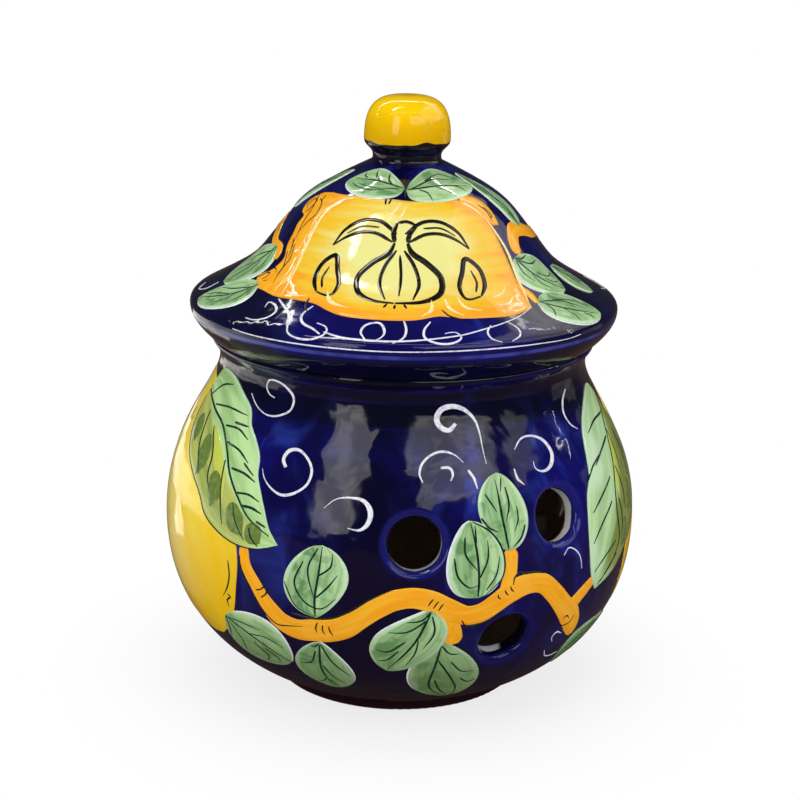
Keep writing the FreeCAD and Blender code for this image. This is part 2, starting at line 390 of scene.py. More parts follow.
class Glaze:
    """A node material under construction, with short ways to add what the glazes share."""

    def __init__(self, name):
        self.material = bpy.data.materials.new(name)
        self.material.use_nodes = True
        self.tree = self.material.node_tree
        self.shader = self.tree.nodes["Principled BSDF"]
        self.place = self.add("ShaderNodeTexCoord").outputs["Object"]

    def feed(self, socket, value):
        """Sets a socket, or links it where the value is a field or another socket."""
        value = value.socket if isinstance(value, Field) else value
        if isinstance(value, bpy.types.NodeSocket):
            self.tree.links.new(value, socket)
        elif socket.type == "RGBA" and len(value) == 3:
            socket.default_value = (*value, 1)
        else:
            socket.default_value = value

    def add(self, kind, inputs=None, **settings):
        """A node with its settings made and its inputs set or linked."""
        node = self.tree.nodes.new(kind)
        for key, value in settings.items():
            setattr(node, key, value)
        for key, value in (inputs or {}).items():
            self.feed(node.inputs[key], value)
        return node

    def field(self, output, kind, inputs=None, **settings):
        """One output of a new node."""
        return Field(self, self.add(kind, inputs, **settings).outputs[output])

    def math(self, kind, a, b=0.0):
        """One arithmetic step."""
        return self.field(0, "ShaderNodeMath", {0: a, 1: b}, operation=kind)

    def vector(self, kind, a, b, output=0):
        """One step of arithmetic on places."""
        return self.field(output, "ShaderNodeVectorMath", {0: a, 1: b}, operation=kind)

    def axes(self, vector=None):
        """The three parts of a place, by default of the object's own."""
        node = self.add("ShaderNodeSeparateXYZ", {0: vector or self.place})
        return [Field(self, output) for output in node.outputs]

    def tone(self):
        """Each stroke's own number from 0 to 1."""
        return self.field("Fac", "ShaderNodeAttribute", attribute_name="tone")

    def ramp(self, value, low, high):
        """0 before low, 1 beyond high, and smooth between."""
        inputs = {"Value": value, "From Min": low, "From Max": high}
        return self.field(0, "ShaderNodeMapRange", inputs, interpolation_type="SMOOTHSTEP")

    def band(self, length, ends):
        """A ramp over a length in metres, between two ends in mm."""
        return self.ramp(length, ends[0] * MM, ends[1] * MM)

    def mix(self, share, a, b):
        """Colour a where share is 0 and colour b where it is 1."""
        return self.field(2, "ShaderNodeMix", {0: share, 6: a, 7: b}, data_type="RGBA")

    def over(self, base, colour, where, most=1.0):
        """The colour laid over the base where the field says, at most that densely."""
        return self.mix(where if most == 1 else where * most, base, colour)

    def noise(self, scale, detail=3.0, vector=None, stretch=None, roughness=0.5, distortion=0.0):
        """Soft noise with scale per metre, in object space, which may be stretched along its axes."""
        if stretch:
            vector = self.vector("MULTIPLY", self.place, stretch)
        inputs = {"Vector": vector or self.place, "Scale": scale, "Detail": detail}
        inputs |= {"Roughness": roughness, "Distortion": distortion}
        return self.field("Fac", "ShaderNodeTexNoise", inputs)

    def patches(self, low, high, scale, detail=3.0, **more):
        """Soft patches: 0 where the noise is under low, 1 where it is over high."""
        return self.ramp(self.noise(scale, detail, **more), low, high)

    def brush_space(self):
        """How far along and across the stroke or leaf a point lies, from 0 to 1."""
        return self.axes(self.add("ShaderNodeUVMap", uv_map="brush_space").outputs[0])[:2]

    def streaks(self, low, high, along_scale, across_scale, detail=3.0):
        """Brush streaks that run along the stroke, and differ from one stroke to the next."""
        t, w = self.brush_space()
        inputs = {0: t * along_scale, 1: w * across_scale, 2: self.tone() * TONE_SPREAD}
        return self.patches(low, high, 1.0, detail, vector=self.field(0, "ShaderNodeCombineXYZ", inputs))

    def finish(self, colour, roughness=GLOSS, dimples=DIMPLES):
        """Colour, gloss and the slight ripple of a melted glaze."""
        self.feed(self.shader.inputs["Base Color"], colour)
        self.shader.inputs["Roughness"].default_value = roughness
        self.shader.inputs["IOR"].default_value = GLAZE_INDEX
        slow = self.noise(SWELL[0], 2.0, distortion=SWELL[1]) * SWELL[2]
        ripples = self.noise(dimples[0], 1.0, distortion=DIMPLE_TWIST) * dimples[1]
        pits = self.noise(PITS[0], 1.0) * PITS[1]
        bump = {"Strength": 1.0, "Distance": RIPPLE, "Height": slow + ripples + pits}
        self.feed(self.shader.inputs["Normal"], self.field(0, "ShaderNodeBump", bump))
        return self.material

    def glow_over(self, share, surface, glow):
        """Replaces the shader by a surface that gives way to a glow by its share."""
        mixed = self.field(0, "ShaderNodeMixShader", {0: share, 1: surface, 2: glow})
        self.feed(self.tree.nodes["Material Output"].inputs["Surface"], mixed)
        self.tree.nodes.remove(self.shader)
        return self.material


# ---------------------------------------------------------------- the cobalt of the jar and the lid

HALF_WALL = 2.9             # mm from the outer face to where the outer glaze ends
DEEP_WALL = 2.8             # mm further in, where the white glaze ends and bare clay begins
STEEPEST = 0.45             # least slope of the wall that its middle is worked out for
CURVE_POINTS = 15           # from the bottom to the top of the wall
CURVE_TOP = 100             # mm of radius that the curve's 1 stands for
AXIS_REACH = 0.001          # m, keeps the axis out of a division
WAVER = 0.0022              # m that the edges of glaze wander

# azimuth and height of the middle of each front vent
VENTS = ((3.7, 72.4), (40.7, 76.4), (26.8, 37.2))

# from where a glaze starts to where it is full, in mm of height or depth or from a vent's axis
BARE_FOOT = (0.5, 0.3)
# painted shade and a brown painted reflection of a table, low on the jar and at its foot
FOOT_SHADE = (11, 5)
LOW_REFLECTION = (34, 8)
# painted shade low on the belly
LOW_BELLY_SHADE = (30, 70)
# the neck: painted shade under the lid's brim
NECK = (96, 108)
# painted highlight on the vents' rounded rims, weaker at the lower vent
RIM_HIGHLIGHT_REACH = (11.9, 10.2)
RIM_HIGHLIGHT_HEIGHT = (44, 56)
# painted shade and a painted glint in the lower vent
LOW_VENT = (10.5, 9.8)
LOW_VENT_HEIGHT = (47, 44)
VENT_GLINT_SIDE = (33.6, 31.8)
VENT_GLINT_DEPTH = (1.2, 1.5)
OUTER_GLAZE = (-0.2, 0.2)
CLAY_SHADE_INSIDE = (DEEP_WALL, DEEP_WALL + 0.3)
BRIM = (146, 139)
BRIM_UNDERSIDE = (128.6, 126.6)
# the brim's edge: a painted highlight
BRIM_EDGE_TOP = (130.4, 129.9)
BRIM_EDGE_LOW = (128.6, 129.3)

NECK_SHADE_BLUE = shade(5, 6, 16)
UNDER_BRIM_SHADE = shade(5, 6, 18)
SIDE_SHADE_BLUE = shade(11, 9, 28)
LOW_REFLECTION_BROWN = shade(26, 12, 28)
# painted shade and a painted glint in the lower vent
VENT_SHADE = shade(9, 9, 22)
VENT_GLINT_PALE = shade(196, 198, 204)
OLD_WHITE = shade(205, 202, 196)
# bare clay, darker inside the jar and the lid as painted shade
CLAY_AND_SHADE = shade(148, 120, 96)
PALE_CLAY_AND_SHADE = shade(176, 150, 122)


def vent_reach(glaze):
    """How far each point is from the axis of the nearest vent, in metres."""
    side = glaze.math("SIGN", glaze.axes()[1] * -1.0)
    flip = glaze.field(0, "ShaderNodeCombineXYZ", {0: side, 1: side, 2: 1.0})
    front = glaze.vector("MULTIPLY", glaze.place, flip)
    nearest = None
    for azimuth, height in VENTS:
        turn = math.radians(azimuth)
        radius, out, up = (np.interp(height, JAR.height, row) for row in (JAR.radius, JAR.out, JAR.up))
        centre = (radius * math.sin(turn) * MM, -radius * math.cos(turn) * MM, height * MM)
        axis = (out * math.sin(turn), -out * math.cos(turn), up)
        across = glaze.vector("CROSS_PRODUCT", glaze.vector("SUBTRACT", front, centre), axis)
        reach = glaze.vector("LENGTH", across, (0, 0, 0), "Value")
        nearest = reach if nearest is None else glaze.math("MINIMUM", nearest, reach)
    return nearest


class CobaltGlaze(Glaze):
    """Cobalt blue outside, bare clay inside and under the foot, and white glaze where it ends; the clay
    inside is darker as painted shade.
    """

    def __init__(self, name, skin, colours, low_radius):
        super().__init__(name)
        self.colours = colours
        x, _, self.height = self.axes()
        flat = self.vector("MULTIPLY", self.place, (1.0, 1.0, 0.0))
        self.radius = self.vector("LENGTH", flat, (0, 0, 0), "Value")
        self.sideways = abs(x)
        self.share = self.sideways / self.math("MAXIMUM", self.radius, AXIS_REACH)
        self.waver = (self.noise(160.0, 2.0) - 0.5) * WAVER
        self.depth = self.wall_middle(skin, low_radius) - self.radius + self.waver
        self.clouds = self.patches(0.46, 0.7, 60.0, 4.0, stretch=(1.3, 1.3, 0.7), distortion=0.9)

    def wall_middle(self, skin, low_radius):
        """The radius of the middle of the wall at each height, in metres, and below the skin low_radius."""
        top = skin.height[-1]
        curve = self.add("ShaderNodeFloatCurve", {"Value": self.height / (top * MM)})
        points = curve.mapping.curves[0].points
        heights = np.linspace(skin.height[0], top, CURVE_POINTS)
        middle = skin.radius - HALF_WALL / np.maximum(skin.out, STEEPEST)
        middle = np.interp(heights, skin.height, middle)
        points[0].location = (0, low_radius / CURVE_TOP)
        points[1].location = (1, middle[-1] / CURVE_TOP)
        for height, radius in zip(heights[:-1], middle[:-1]):
            points.new(height / top, radius / CURVE_TOP)
        points.new((skin.height[0] - 1) / top, low_radius / CURVE_TOP)
        for point in points:
            point.handle_type = "VECTOR"
        curve.mapping.update()
        return Field(self, curve.outputs[0]) * (CURVE_TOP * MM)

    def ground(self):
        """The blue in its patches, clouds and turning streaks, darker at the front and low down: brighter
        towards the sides as a painted sheen, and painted shade low down.
        """
        patches = self.patches(0.44, 0.62, 19.0, 3.0, stretch=(1.5, 1.5, 0.7), distortion=0.8)
        turning = self.patches(0.42, 0.66, 30.0, 4.0, stretch=(0.5, 0.5, 9.0), distortion=0.5)
        # painted sheen: more bright blue towards the sides than at the front and back
        side_sheen = self.ramp(self.share, 0.08, 0.45)
        patches = (patches + side_sheen * 0.5) * 0.8 * (side_sheen * 0.65 + 0.35)
        # painted shade: fewer bright patches low on the belly
        patches = patches * (self.band(self.height, LOW_BELLY_SHADE) * 0.85 + 0.15)
        blue = self.mix(patches, self.colours.cobalt_deep, self.colours.cobalt)
        blue = self.over(blue, self.colours.cobalt_bright, self.clouds * patches)
        return self.over(blue, self.colours.cobalt_deep, turning, 0.35)

    def lining(self):
        """The white glaze at the lips, and the clay beyond it."""
        milky = self.mix(self.noise(18.0, 2.0), self.colours.tin_white, OLD_WHITE)
        return self.mix(self.band(self.depth, CLAY_SHADE_INSIDE), milky, self.clay())

    def clay(self):
        """Bare fired clay; inside the jar and the lid its darker colour is also painted shade."""
        return self.mix(self.noise(300.0, 4.0), CLAY_AND_SHADE, PALE_CLAY_AND_SHADE)

    def coat(self, blue, lining, dimples):
        """The blue outside, its lining inside and bare clay under the foot."""
        body = self.mix(self.band(self.depth, OUTER_GLAZE), blue, lining)
        body = self.over(body, self.clay(), self.band(self.height, BARE_FOOT))
        return self.finish(body, dimples=dimples)


def jar_glaze(colours):
    """The jar's cobalt: nearly black at the neck as painted shade under the brim, a painted highlight round
    the vents, painted shade and a glint in the lower vent, and painted shade with a brown painted
    reflection low down and at the foot.
    """
    glaze = CobaltGlaze("jar_cobalt", JAR, colours, low_radius=0.0)
    reach = vent_reach(glaze)
    # painted shade: the neck under the lid's brim is painted nearly black, with the throwing rings in
    # cobalt
    rings = glaze.patches(0.5, 0.72, 34.0, 4.0, stretch=(0.35, 0.35, 9.0), distortion=0.7)
    neck = glaze.mix(rings * 0.5, NECK_SHADE_BLUE, colours.cobalt)
    blue = glaze.over(glaze.ground(), neck, glaze.band(glaze.height, NECK), 0.86)
    # painted highlight: lighter blue on the vents' rounded rims, weaker at the lower vent where less light
    # falls
    thin = glaze.band(glaze.height, RIM_HIGHLIGHT_HEIGHT) * 0.3 + 0.25
    blue = glaze.over(blue, colours.vent_rim_highlight, glaze.band(reach, RIM_HIGHLIGHT_REACH) * thin)
    # painted shade and a brown painted reflection of a table: maroon low on the belly, dark brown at the
    # foot
    low = glaze.height + glaze.waver * 2.0
    blue = glaze.over(blue, LOW_REFLECTION_BROWN, glaze.band(low, LOW_REFLECTION), 0.45)
    blue = glaze.over(blue, colours.foot_shade_brown, glaze.band(low, FOOT_SHADE), 0.9)
    # painted shade and a painted glint: the lower vent's wall nearly black, with one pale glint on its side
    # towards the middle of the front
    vent_glint = glaze.band(glaze.sideways + glaze.waver, VENT_GLINT_SIDE)
    vent_glint *= glaze.band(glaze.depth, VENT_GLINT_DEPTH)
    shaded_low_vent = glaze.band(glaze.height, LOW_VENT_HEIGHT) * glaze.band(reach, LOW_VENT)
    lining = glaze.over(glaze.lining(), glaze.mix(vent_glint, VENT_SHADE, VENT_GLINT_PALE), shaded_low_vent)
    return glaze.coat(blue, lining, dimples=(78.0, 2.2))


def lid_glaze(colours):
    """The lid's cobalt: brighter on the front of the brim as a painted sheen, dark at its sides and
    underneath as painted shade, and a painted highlight broken along its edge.
    """
    glaze = CobaltGlaze("lid_cobalt", LID, colours, low_radius=60.5)
    brim = glaze.band(glaze.height, BRIM)
    cloudy = glaze.share + (glaze.clouds - 0.5) * 0.16
    # painted sheen on the front of the brim, and painted shade at its sides
    blue = glaze.over(glaze.ground(), colours.cobalt, brim * glaze.ramp(cloudy, 0.5, 0.36), 0.6)
    blue = glaze.over(blue, SIDE_SHADE_BLUE, (brim * 0.28 + 0.5) * glaze.ramp(cloudy, 0.4, 0.56))
    # painted shade under the brim
    blue = glaze.over(blue, UNDER_BRIM_SHADE, glaze.band(glaze.height, BRIM_UNDERSIDE), 0.85)
    # painted highlight: a lighter blue line along the brim's edge, broken into pieces
    edge = glaze.band(glaze.height, BRIM_EDGE_TOP) * glaze.band(glaze.height, BRIM_EDGE_LOW)
    highlight_breaks = glaze.patches(0.35, 0.6, 90.0, 3.0, stretch=(1.0, 1.0, 0.2))
    blue = glaze.over(blue, colours.brim_edge_highlight, edge * (highlight_breaks * 0.6 + 0.25))
    return glaze.coat(blue, glaze.lining(), dimples=(125.0, 0.35))


# ---------------------------------------------------------------- the other glazes and paints

# heights in mm between which a glaze changes
KNOB_YELLOWS = (186, 198.5)
KNOB_EDGE = (186.2, 186.5)
# painted shade on the leaves low on the belly
LOW_LEAF_SHADE_BAND = (50, 22)

KNOB_STREAK = shade(236, 178, 10)
KNOB_PALE = shade(255, 226, 90)
NEAR_BLACK = shade(8, 8, 14)
SOFT_BLACK = shade(22, 20, 40)
LEAF_HALF = shade(104, 150, 96)
LOW_LEAF_SHADE = shade(98, 126, 72)
OLIVE = shade(150, 168, 84)
DEEP_OLIVE = shade(104, 124, 58)
BRANCH_PATCH = shade(255, 186, 60)
LEMON_MIDDLE = shade(250, 236, 170)
LABEL_WARM = shade(242, 184, 36)


def knob_glaze(colours):
    """Yellow above a wavering line and near-black below it."""
    glaze = Glaze("yellow_and_black_knob")
    level = glaze.axes()[2] + (glaze.noise(95.0, 2.0) - 0.5) * 0.004
    yellow = glaze.mix(glaze.band(level, KNOB_YELLOWS), colours.knob_low, colours.knob_top)
    streak = glaze.patches(0.45, 0.7, 60.0, 4.0, stretch=(0.6, 0.6, 5.0), distortion=0.8)
    yellow = glaze.over(yellow, KNOB_STREAK, streak, 0.5)
    yellow = glaze.over(yellow, KNOB_PALE, glaze.patches(0.58, 0.75, 110.0), 0.35)
    dark = glaze.mix(glaze.noise(140.0, 2.0), NEAR_BLACK, SOFT_BLACK)
    return glaze.finish(glaze.mix(glaze.band(level, KNOB_EDGE), dark, yellow))


def leaf_glaze(colours):
    """Mint green laid on in thin washes, darker where the brush went twice, and darker low on the belly as
    painted shade.
    """
    glaze = Glaze("washed_leaf_green")
    t, w = glaze.brush_space()
    green = glaze.mix(glaze.streaks(0.36, 0.68, 2.2, 11.0, 4.0), colours.leaf_pale, colours.leaf_mid)
    wash = glaze.patches(0.5, 0.62, 105.0, 2.0, distortion=1.4)
    green = glaze.over(green, colours.leaf_dark, wash * (glaze.ramp(w, 0.75, 0.25) * 0.5 + 0.35))
    green = glaze.over(green, LEAF_HALF, glaze.ramp(w + wash * 0.06, 0.6, 0.5), 0.38)
    edge = abs(w - 0.5) + glaze.noise(240.0, 2.0) * 0.1
    green = glaze.over(green, colours.leaf_rim, glaze.ramp(edge, 0.44, 0.52), 0.75)
    green = glaze.over(green, colours.leaf_dark, glaze.ramp(t, 0.16, 0.0), 0.5)
    # painted shade: the leaves low on the belly darker and more olive
    return glaze.finish(glaze.over(green, LOW_LEAF_SHADE, glaze.band(glaze.axes()[2], LOW_LEAF_SHADE_BAND), 0.6))


def long_leaf_glaze(colours):
    """Mint on one half of a long leaf and olive on the other, and the other way round at a high tone."""
    glaze = Glaze("long_leaf_green")
    t, w = glaze.brush_space()
    streak = glaze.streaks(0.38, 0.66, 2.0, 7.0, 4.0)
    green = glaze.mix(streak, colours.long_pale, colours.long_mid)
    olive = glaze.mix(streak, colours.leaf_olive, OLIVE)
    flip = glaze.ramp(glaze.tone(), 0.4, 0.6)
    side = glaze.field(0, "ShaderNodeMix", {0: flip, 2: w, 3: 1.0 - w})
    green = glaze.over(green, colours.leaf_rim, flip * (glaze.patches(0.44, 0.6, 34.0, 2.0) * 0.6 + 0.25))
    olive = glaze.over(olive, DEEP_OLIVE, flip, 0.6)
    waver = (glaze.noise(90.0, 2.0) - 0.5) * 0.12
    green = glaze.over(green, olive, glaze.ramp(side + waver, 0.52, 0.46) * glaze.ramp(t, 0.96, 0.8))
    return glaze.finish(glaze.over(green, colours.leaf_rim, glaze.ramp(side, 0.93, 0.99), 0.6))


def branch_glaze(colours):
    """Orange with yellower patches, streaked along the branch."""
    glaze = Glaze("branch_orange")
    orange = glaze.mix(glaze.streaks(0.38, 0.68, 9.0, 5.0), colours.branch, colours.branch_light)
    return glaze.finish(glaze.over(orange, BRANCH_PATCH, glaze.patches(0.52, 0.7, 60.0, 2.0), 0.6))


def lemon_glaze(colours):
    """Lemon yellow, deeper towards the point and one side, with a pale middle."""
    glaze = Glaze("lemon_yellow")
    t, w = glaze.brush_space()
    yellow = glaze.mix(glaze.streaks(0.35, 0.7, 1.6, 9.0, 4.0), colours.lemon_pale, colours.lemon)
    yellow = glaze.over(yellow, colours.lemon_deep, glaze.ramp(t, 0.4, 0.78), 0.92)
    middle = glaze.ramp(abs(w - 0.45), 0.28, 0.05) * glaze.ramp(t, 0.85, 0.5)
    return glaze.finish(glaze.over(yellow, LEMON_MIDDLE, middle, 0.4))


def label_glaze(colours):
    """Pale yellow in the middle, warming through gold to orange at the edge."""
    glaze = Glaze("label_yellow")
    t, w = glaze.brush_space()
    reach = ((abs(t - 0.5) * 2.0) ** 2.4 + (abs(w - 0.54) * 2.0) ** 2.4) ** 0.42
    streak = glaze.noise(46.0, 5.0, stretch=(0.7, 0.7, 7.0), roughness=0.6, distortion=0.5)
    reach = reach + (streak - 0.5) * 0.9
    gold = glaze.mix(glaze.ramp(reach, 0.42, 0.86), colours.label_middle, colours.label_gold)
    fine = glaze.patches(0.5, 0.72, 90.0, 4.0, stretch=(0.6, 0.6, 8.0), roughness=0.65)
    gold = glaze.over(gold, colours.label_thin, fine, 0.35)
    gold = glaze.over(gold, LABEL_WARM, glaze.ramp(t - w * 0.3, 0.5, 0.85), 0.5)
    return glaze.finish(glaze.mix(glaze.ramp(reach, 0.84, 1.06), gold, colours.label_edge))


def line_glaze(name, colour, second, roughness=0.09):
    """A brush line's paint, thin in places."""
    glaze = Glaze(name)
    return glaze.finish(glaze.mix(glaze.patches(0.45, 0.7, 700.0), colour, second), roughness)


# ---------------------------------------------------------------- leaves and branches

LEAF_ROWS = 36              # points along a leaf's edge
LONG_LEAF_ROWS = 60
WIDEST_PLACE = (0.3, 0.7)   # of a leaf's length, between which its side is widest
ROUND_ENDS = 0.56           # under 1 for fuller ends of a leaf
BRANCH_ENDS = 0.45          # of its width that a branch keeps at its ends
LABEL_CELLS = (64, 40)      # points along and up the label

# widths of the veins as shares of the vein width
MIDRIB = 1.15
LESSER_VEINS = (0.75, 1.05)
VEIN_TIP = 0.8
VEIN_WAVER = 0.03           # of a leaf's half width that a vein wanders
VEIN_ENDS = (0.6, 0.35)     # how wide its two ends are, against its middle

SIDES = (0, 180)            # degrees by which the front's paint is repeated

# mm that each layer of paint stands off the skin
LIFT_SLIVER = 0.12
LIFT_LEMON = 0.15
LIFT_BRANCH = 0.2
LIFT_LEAF = 0.24
LIFT_LAYER = 0.05
LIFT_INK = 0.06
LIFT_THIN = 0.025
LEMON_CROWN = 0.05
BRANCH_STEP = 0.01          # mm that each branch lies lower than the one before


class Leaf:
    """A leaf between two edges that run from its foot to its tip."""

    def __init__(self, left, right, count=LEAF_ROWS):
        self.left = evenly(left, count)
        self.right = evenly(right, count)

    def line(self, points):
        """A smooth chart line through places from 0 to 1 along the leaf and -1 to 1 across it."""
        points = np.asarray(points, float)
        index = np.clip(points[:, 0], 0, 1) * (len(self.left) - 1)
        share = ((points[:, 1] + 1) / 2)[:, None]
        left, right = (sampled(edge, range(len(edge)), index) for edge in (self.left, self.right))
        return flowing(left + (right - left) * share)


def almond(skin, foot, tip, left, right):
    """A leaf from its foot, its tip and the widest place of each side."""
    foot, tip, left, right = skin.chart([foot, tip, left, right])
    scale = np.array([skin.stretch((foot + tip) / 2), 1.0])
    axis = (tip - foot) * scale
    length = np.hypot(*axis)
    axis /= length
    normal = np.array([-axis[1], axis[0]])
    t = np.linspace(0, 1, LEAF_ROWS)
    edges = []
    for side in (left, right):
        offset = (side - foot) * scale
        peak = np.clip(offset @ axis / length, *WIDEST_PLACE)
        bend = math.log(0.5) / math.log(peak)
        swell = np.sin(np.pi * t**bend) ** ROUND_ENDS
        line = t[:, None] * axis * length + swell[:, None] * normal * (offset @ normal)
        edges.append(foot + line / scale)
    return Leaf(*edges)


def veins(work, leaf, pattern, width, lift, dice):
    """The dark lines of one leaf, each a little unlike the next."""
    for number, points in enumerate(pattern):
        nudge = [(t, w + dice.uniform(-VEIN_WAVER, VEIN_WAVER)) for t, w in points]
        thick = width * (MIDRIB if number == 0 else dice.uniform(*LESSER_VEINS))
        work.stroke(leaf.line(nudge), (thick, thick, thick * VEIN_TIP), lift, ends=VEIN_ENDS)


def paint_branches(name, skin, rows, sides, material):
    """Branches with rounded ends, from rows of places with a width in mm."""
    wood = Brushwork(skin)
    for side in sides:
        for number, row in enumerate(rows):
            middle = skin.line([place[:2] for place in turned(row, side)])
            half = along([place[2] / 2 for place in row], len(middle))
            run = np.linspace(0, 1, len(middle))
            from_end = np.minimum(run, 1 - run) * len(middle) * LINE_STEP
            half = half * np.minimum(1, from_end / half.mean() + BRANCH_ENDS)
            left, right = skin.beside(middle, half), skin.beside(middle, -half)
            wood.sheet(left, right, LIFT_BRANCH - BRANCH_STEP * number, tone=0.1 + 0.2 * number)
    wood.build(name, material, "orange_paint")


def coons(bottom, top, left, right):
    """A grid of points that fills four edges."""
    across, up = LABEL_CELLS
    bottom, top = evenly(bottom, across), evenly(top, across)
    left, right = evenly(left, up), evenly(right, up)
    u = np.linspace(0, 1, across)[:, None, None]
    v = np.linspace(0, 1, up)[None, :, None]
    ruled = (1 - v) * bottom[:, None] + v * top[:, None] + (1 - u) * left[None] + u * right[None]
    low_corners = (1 - u) * (1 - v) * left[0] + u * (1 - v) * right[0]
    return ruled - (1 - u) * v * left[-1] - low_corners - u * v * right[-1]


# ---------------------------------------------------------------- the jar's painting
#
# Where nothing else is said, a place is its azimuth in degrees and its height in mm.

# a leaf's veins, midrib first: how far along the leaf from 0 to 1, and across it from -1 to 1
VEINS = {
    "round": [
        [(0.03, 0), (0.3, 0.08), (0.6, 0.06), (0.97, 0.2)],
        [(0.9, -0.3), (0.65, -0.32), (0.33, 0.06)],
        [(0.7, -0.62), (0.45, -0.6), (0.23, -0.1), (0.19, 0.35), (0.34, 0.85)],
        [(0.56, 0.08), (0.68, 0.42), (0.84, 0.72)],
        [(0.33, 0.12), (0.46, 0.45), (0.6, 0.7)],
        [(0.46, -0.95), (0.2, -0.84), (0.04, -0.25)],
    ],
    "full": [
        [(0.05, 0.06), (0.3, 0.05), (0.6, 0), (0.95, -0.15)],
        [(0.78, -0.5), (0.6, -0.42), (0.42, -0.03)],
        [(0.58, -0.82), (0.37, -0.65), (0.25, -0.2), (0.27, 0.08)],
        [(0.68, 0.05), (0.9, 0.3)],
        [(0.34, 0.1), (0.52, 0.38), (0.7, 0.6)],
        [(0.18, 0.5), (0.33, 0.7), (0.52, 0.85)],
        [(0.97, 0.3), (0.8, 0.9), (0.55, 1), (0.3, 0.98), (0.1, 0.8)],
    ],
    "tall": [
        [(0.05, 0), (0.4, -0.14), (0.86, -0.2)],
        [(0.7, -0.75), (0.62, -0.5), (0.5, -0.28)],
        [(0.46, -0.95), (0.35, -0.85), (0.29, -0.5)],
        [(0.88, 0.4), (0.8, 0.22), (0.7, 0.08)],
        [(0.76, 0.42), (0.57, 0.3), (0.39, 0)],
        [(0.54, 0.62), (0.4, 0.52), (0.28, 0.3)],
        [(0.35, 0.9), (0.2, 0.76), (0.09, 0.48)],
    ],
    "wide": [
        [(0.06, 0), (0.5, -0.04), (0.92, -0.08)],
        [(0.04, -0.2), (0.14, -0.45), (0.12, -0.85)],
        [(0.2, -0.2), (0.42, -0.4), (0.45, -0.8)],
        [(0.66, -0.1), (0.73, -0.35), (0.76, -0.62)],
        [(0.05, 0.15), (0.36, 0.5), (0.56, 0.9)],
        [(0.42, 0.05), (0.62, 0.3), (0.72, 0.65)],
        [(0.67, 0.05), (0.84, 0.3), (0.92, 0.7)],
    ],
    "fan": [
        [(0.03, 0.05), (0.45, 0.1), (0.96, -0.06)],
        [(0.03, -0.1), (0.18, -0.35), (0.26, -0.85)],
        [(0.16, -0.05), (0.38, -0.42), (0.44, -0.85)],
        [(0.48, -0.1), (0.66, -0.45), (0.66, -0.82)],
        [(0.6, -0.05), (0.78, -0.4), (0.8, -0.72)],
        [(0.1, 0.2), (0.3, 0.45), (0.5, 0.55)],
        [(0.42, 0.18), (0.58, 0.45), (0.76, 0.66)],
    ],
    "broad": [
        [(0.04, -0.1), (0.3, -0.2), (0.6, -0.5), (0.86, -0.62)],
        [(0.06, 0), (0.2, 0.4), (0.22, 0.8)],
        [(0.24, -0.15), (0.5, 0.2), (0.72, 0.32), (0.94, 0.4)],
        [(0.3, 0.3), (0.46, 0.55), (0.48, 0.9)],
        [(0.55, 0.45), (0.64, 0.7), (0.62, 0.96)],
        [(0.5, -0.25), (0.7, -0.3), (0.9, -0.25)],
        [(0.98, 0.15), (0.86, 0.2), (0.97, 0.35)],
    ],
    "flat": [
        [(0.02, 0), (0.45, 0.12), (0.9, 0.3)],
        [(0.2, 0.1), (0.3, 0.5), (0.32, 0.9)],
        [(0.42, 0.12), (0.55, 0.5), (0.6, 0.88)],
        [(0.66, 0.2), (0.76, 0.5), (0.78, 0.8)],
        [(0.1, -0.1), (0.4, -0.35), (0.75, -0.3)],
        [(0.3, -0.4), (0.6, -0.6), (0.85, -0.4)],
    ],
    "lean": [
        [(0.03, 0), (0.4, -0.1), (0.95, 0.1)],
        [(0.12, -0.1), (0.3, -0.45), (0.5, -0.8)],
        [(0.38, -0.15), (0.55, -0.45), (0.75, -0.7)],
        [(0.2, 0.05), (0.42, 0.35), (0.62, 0.75)],
        [(0.48, 0), (0.66, 0.3), (0.84, 0.55)],
    ],
}

# foot, tip, widest place left and right, veins, layer, and the bare white beside it in mm sideways and up
JAR_LEAVES = {
    "round_left": ((-18.6, 46.4), (-17.2, 70.6), (-26.3, 57.5), (-10.9, 60.3), "round", 1, (0, 0)),
    "tall_pair": ((25.4, 68.6), (24.4, 92), (18.6, 82), (31, 79.5), "tall", 1, (0.3, -0.2)),
    "full_pair": ((18, 54.6), (16.6, 79), (11.2, 63), (24.4, 66), "full", 2, (-0.7, 0.1)),
    "low_round": ((-18.1, 37.4), (-17.6, 16.6), (-26.6, 25.5), (-10.8, 24), "wide", 1, (0.3, 0.2)),
    "low_left": ((-46, 38), (-27.6, 26.4), (-43.6, 23.6), (-31.6, 40.8), "fan", 1, (0.5, 0.4)),
    "low_broad": ((10.6, 39.2), (17.4, 12.8), (3.6, 22), (22, 25), "broad", 1, (-0.6, 0.2)),
    "low_middle": ((7.6, 51.4), (-2.4, 28.2), (-5.6, 40.4), (10.4, 37.6), "fan", 2, (0.4, 0.9)),
    "low_right": ((69, 31.6), (53, 17.6), (51.6, 31), (67, 19.5), "lean", 1, (0, 0)),
}

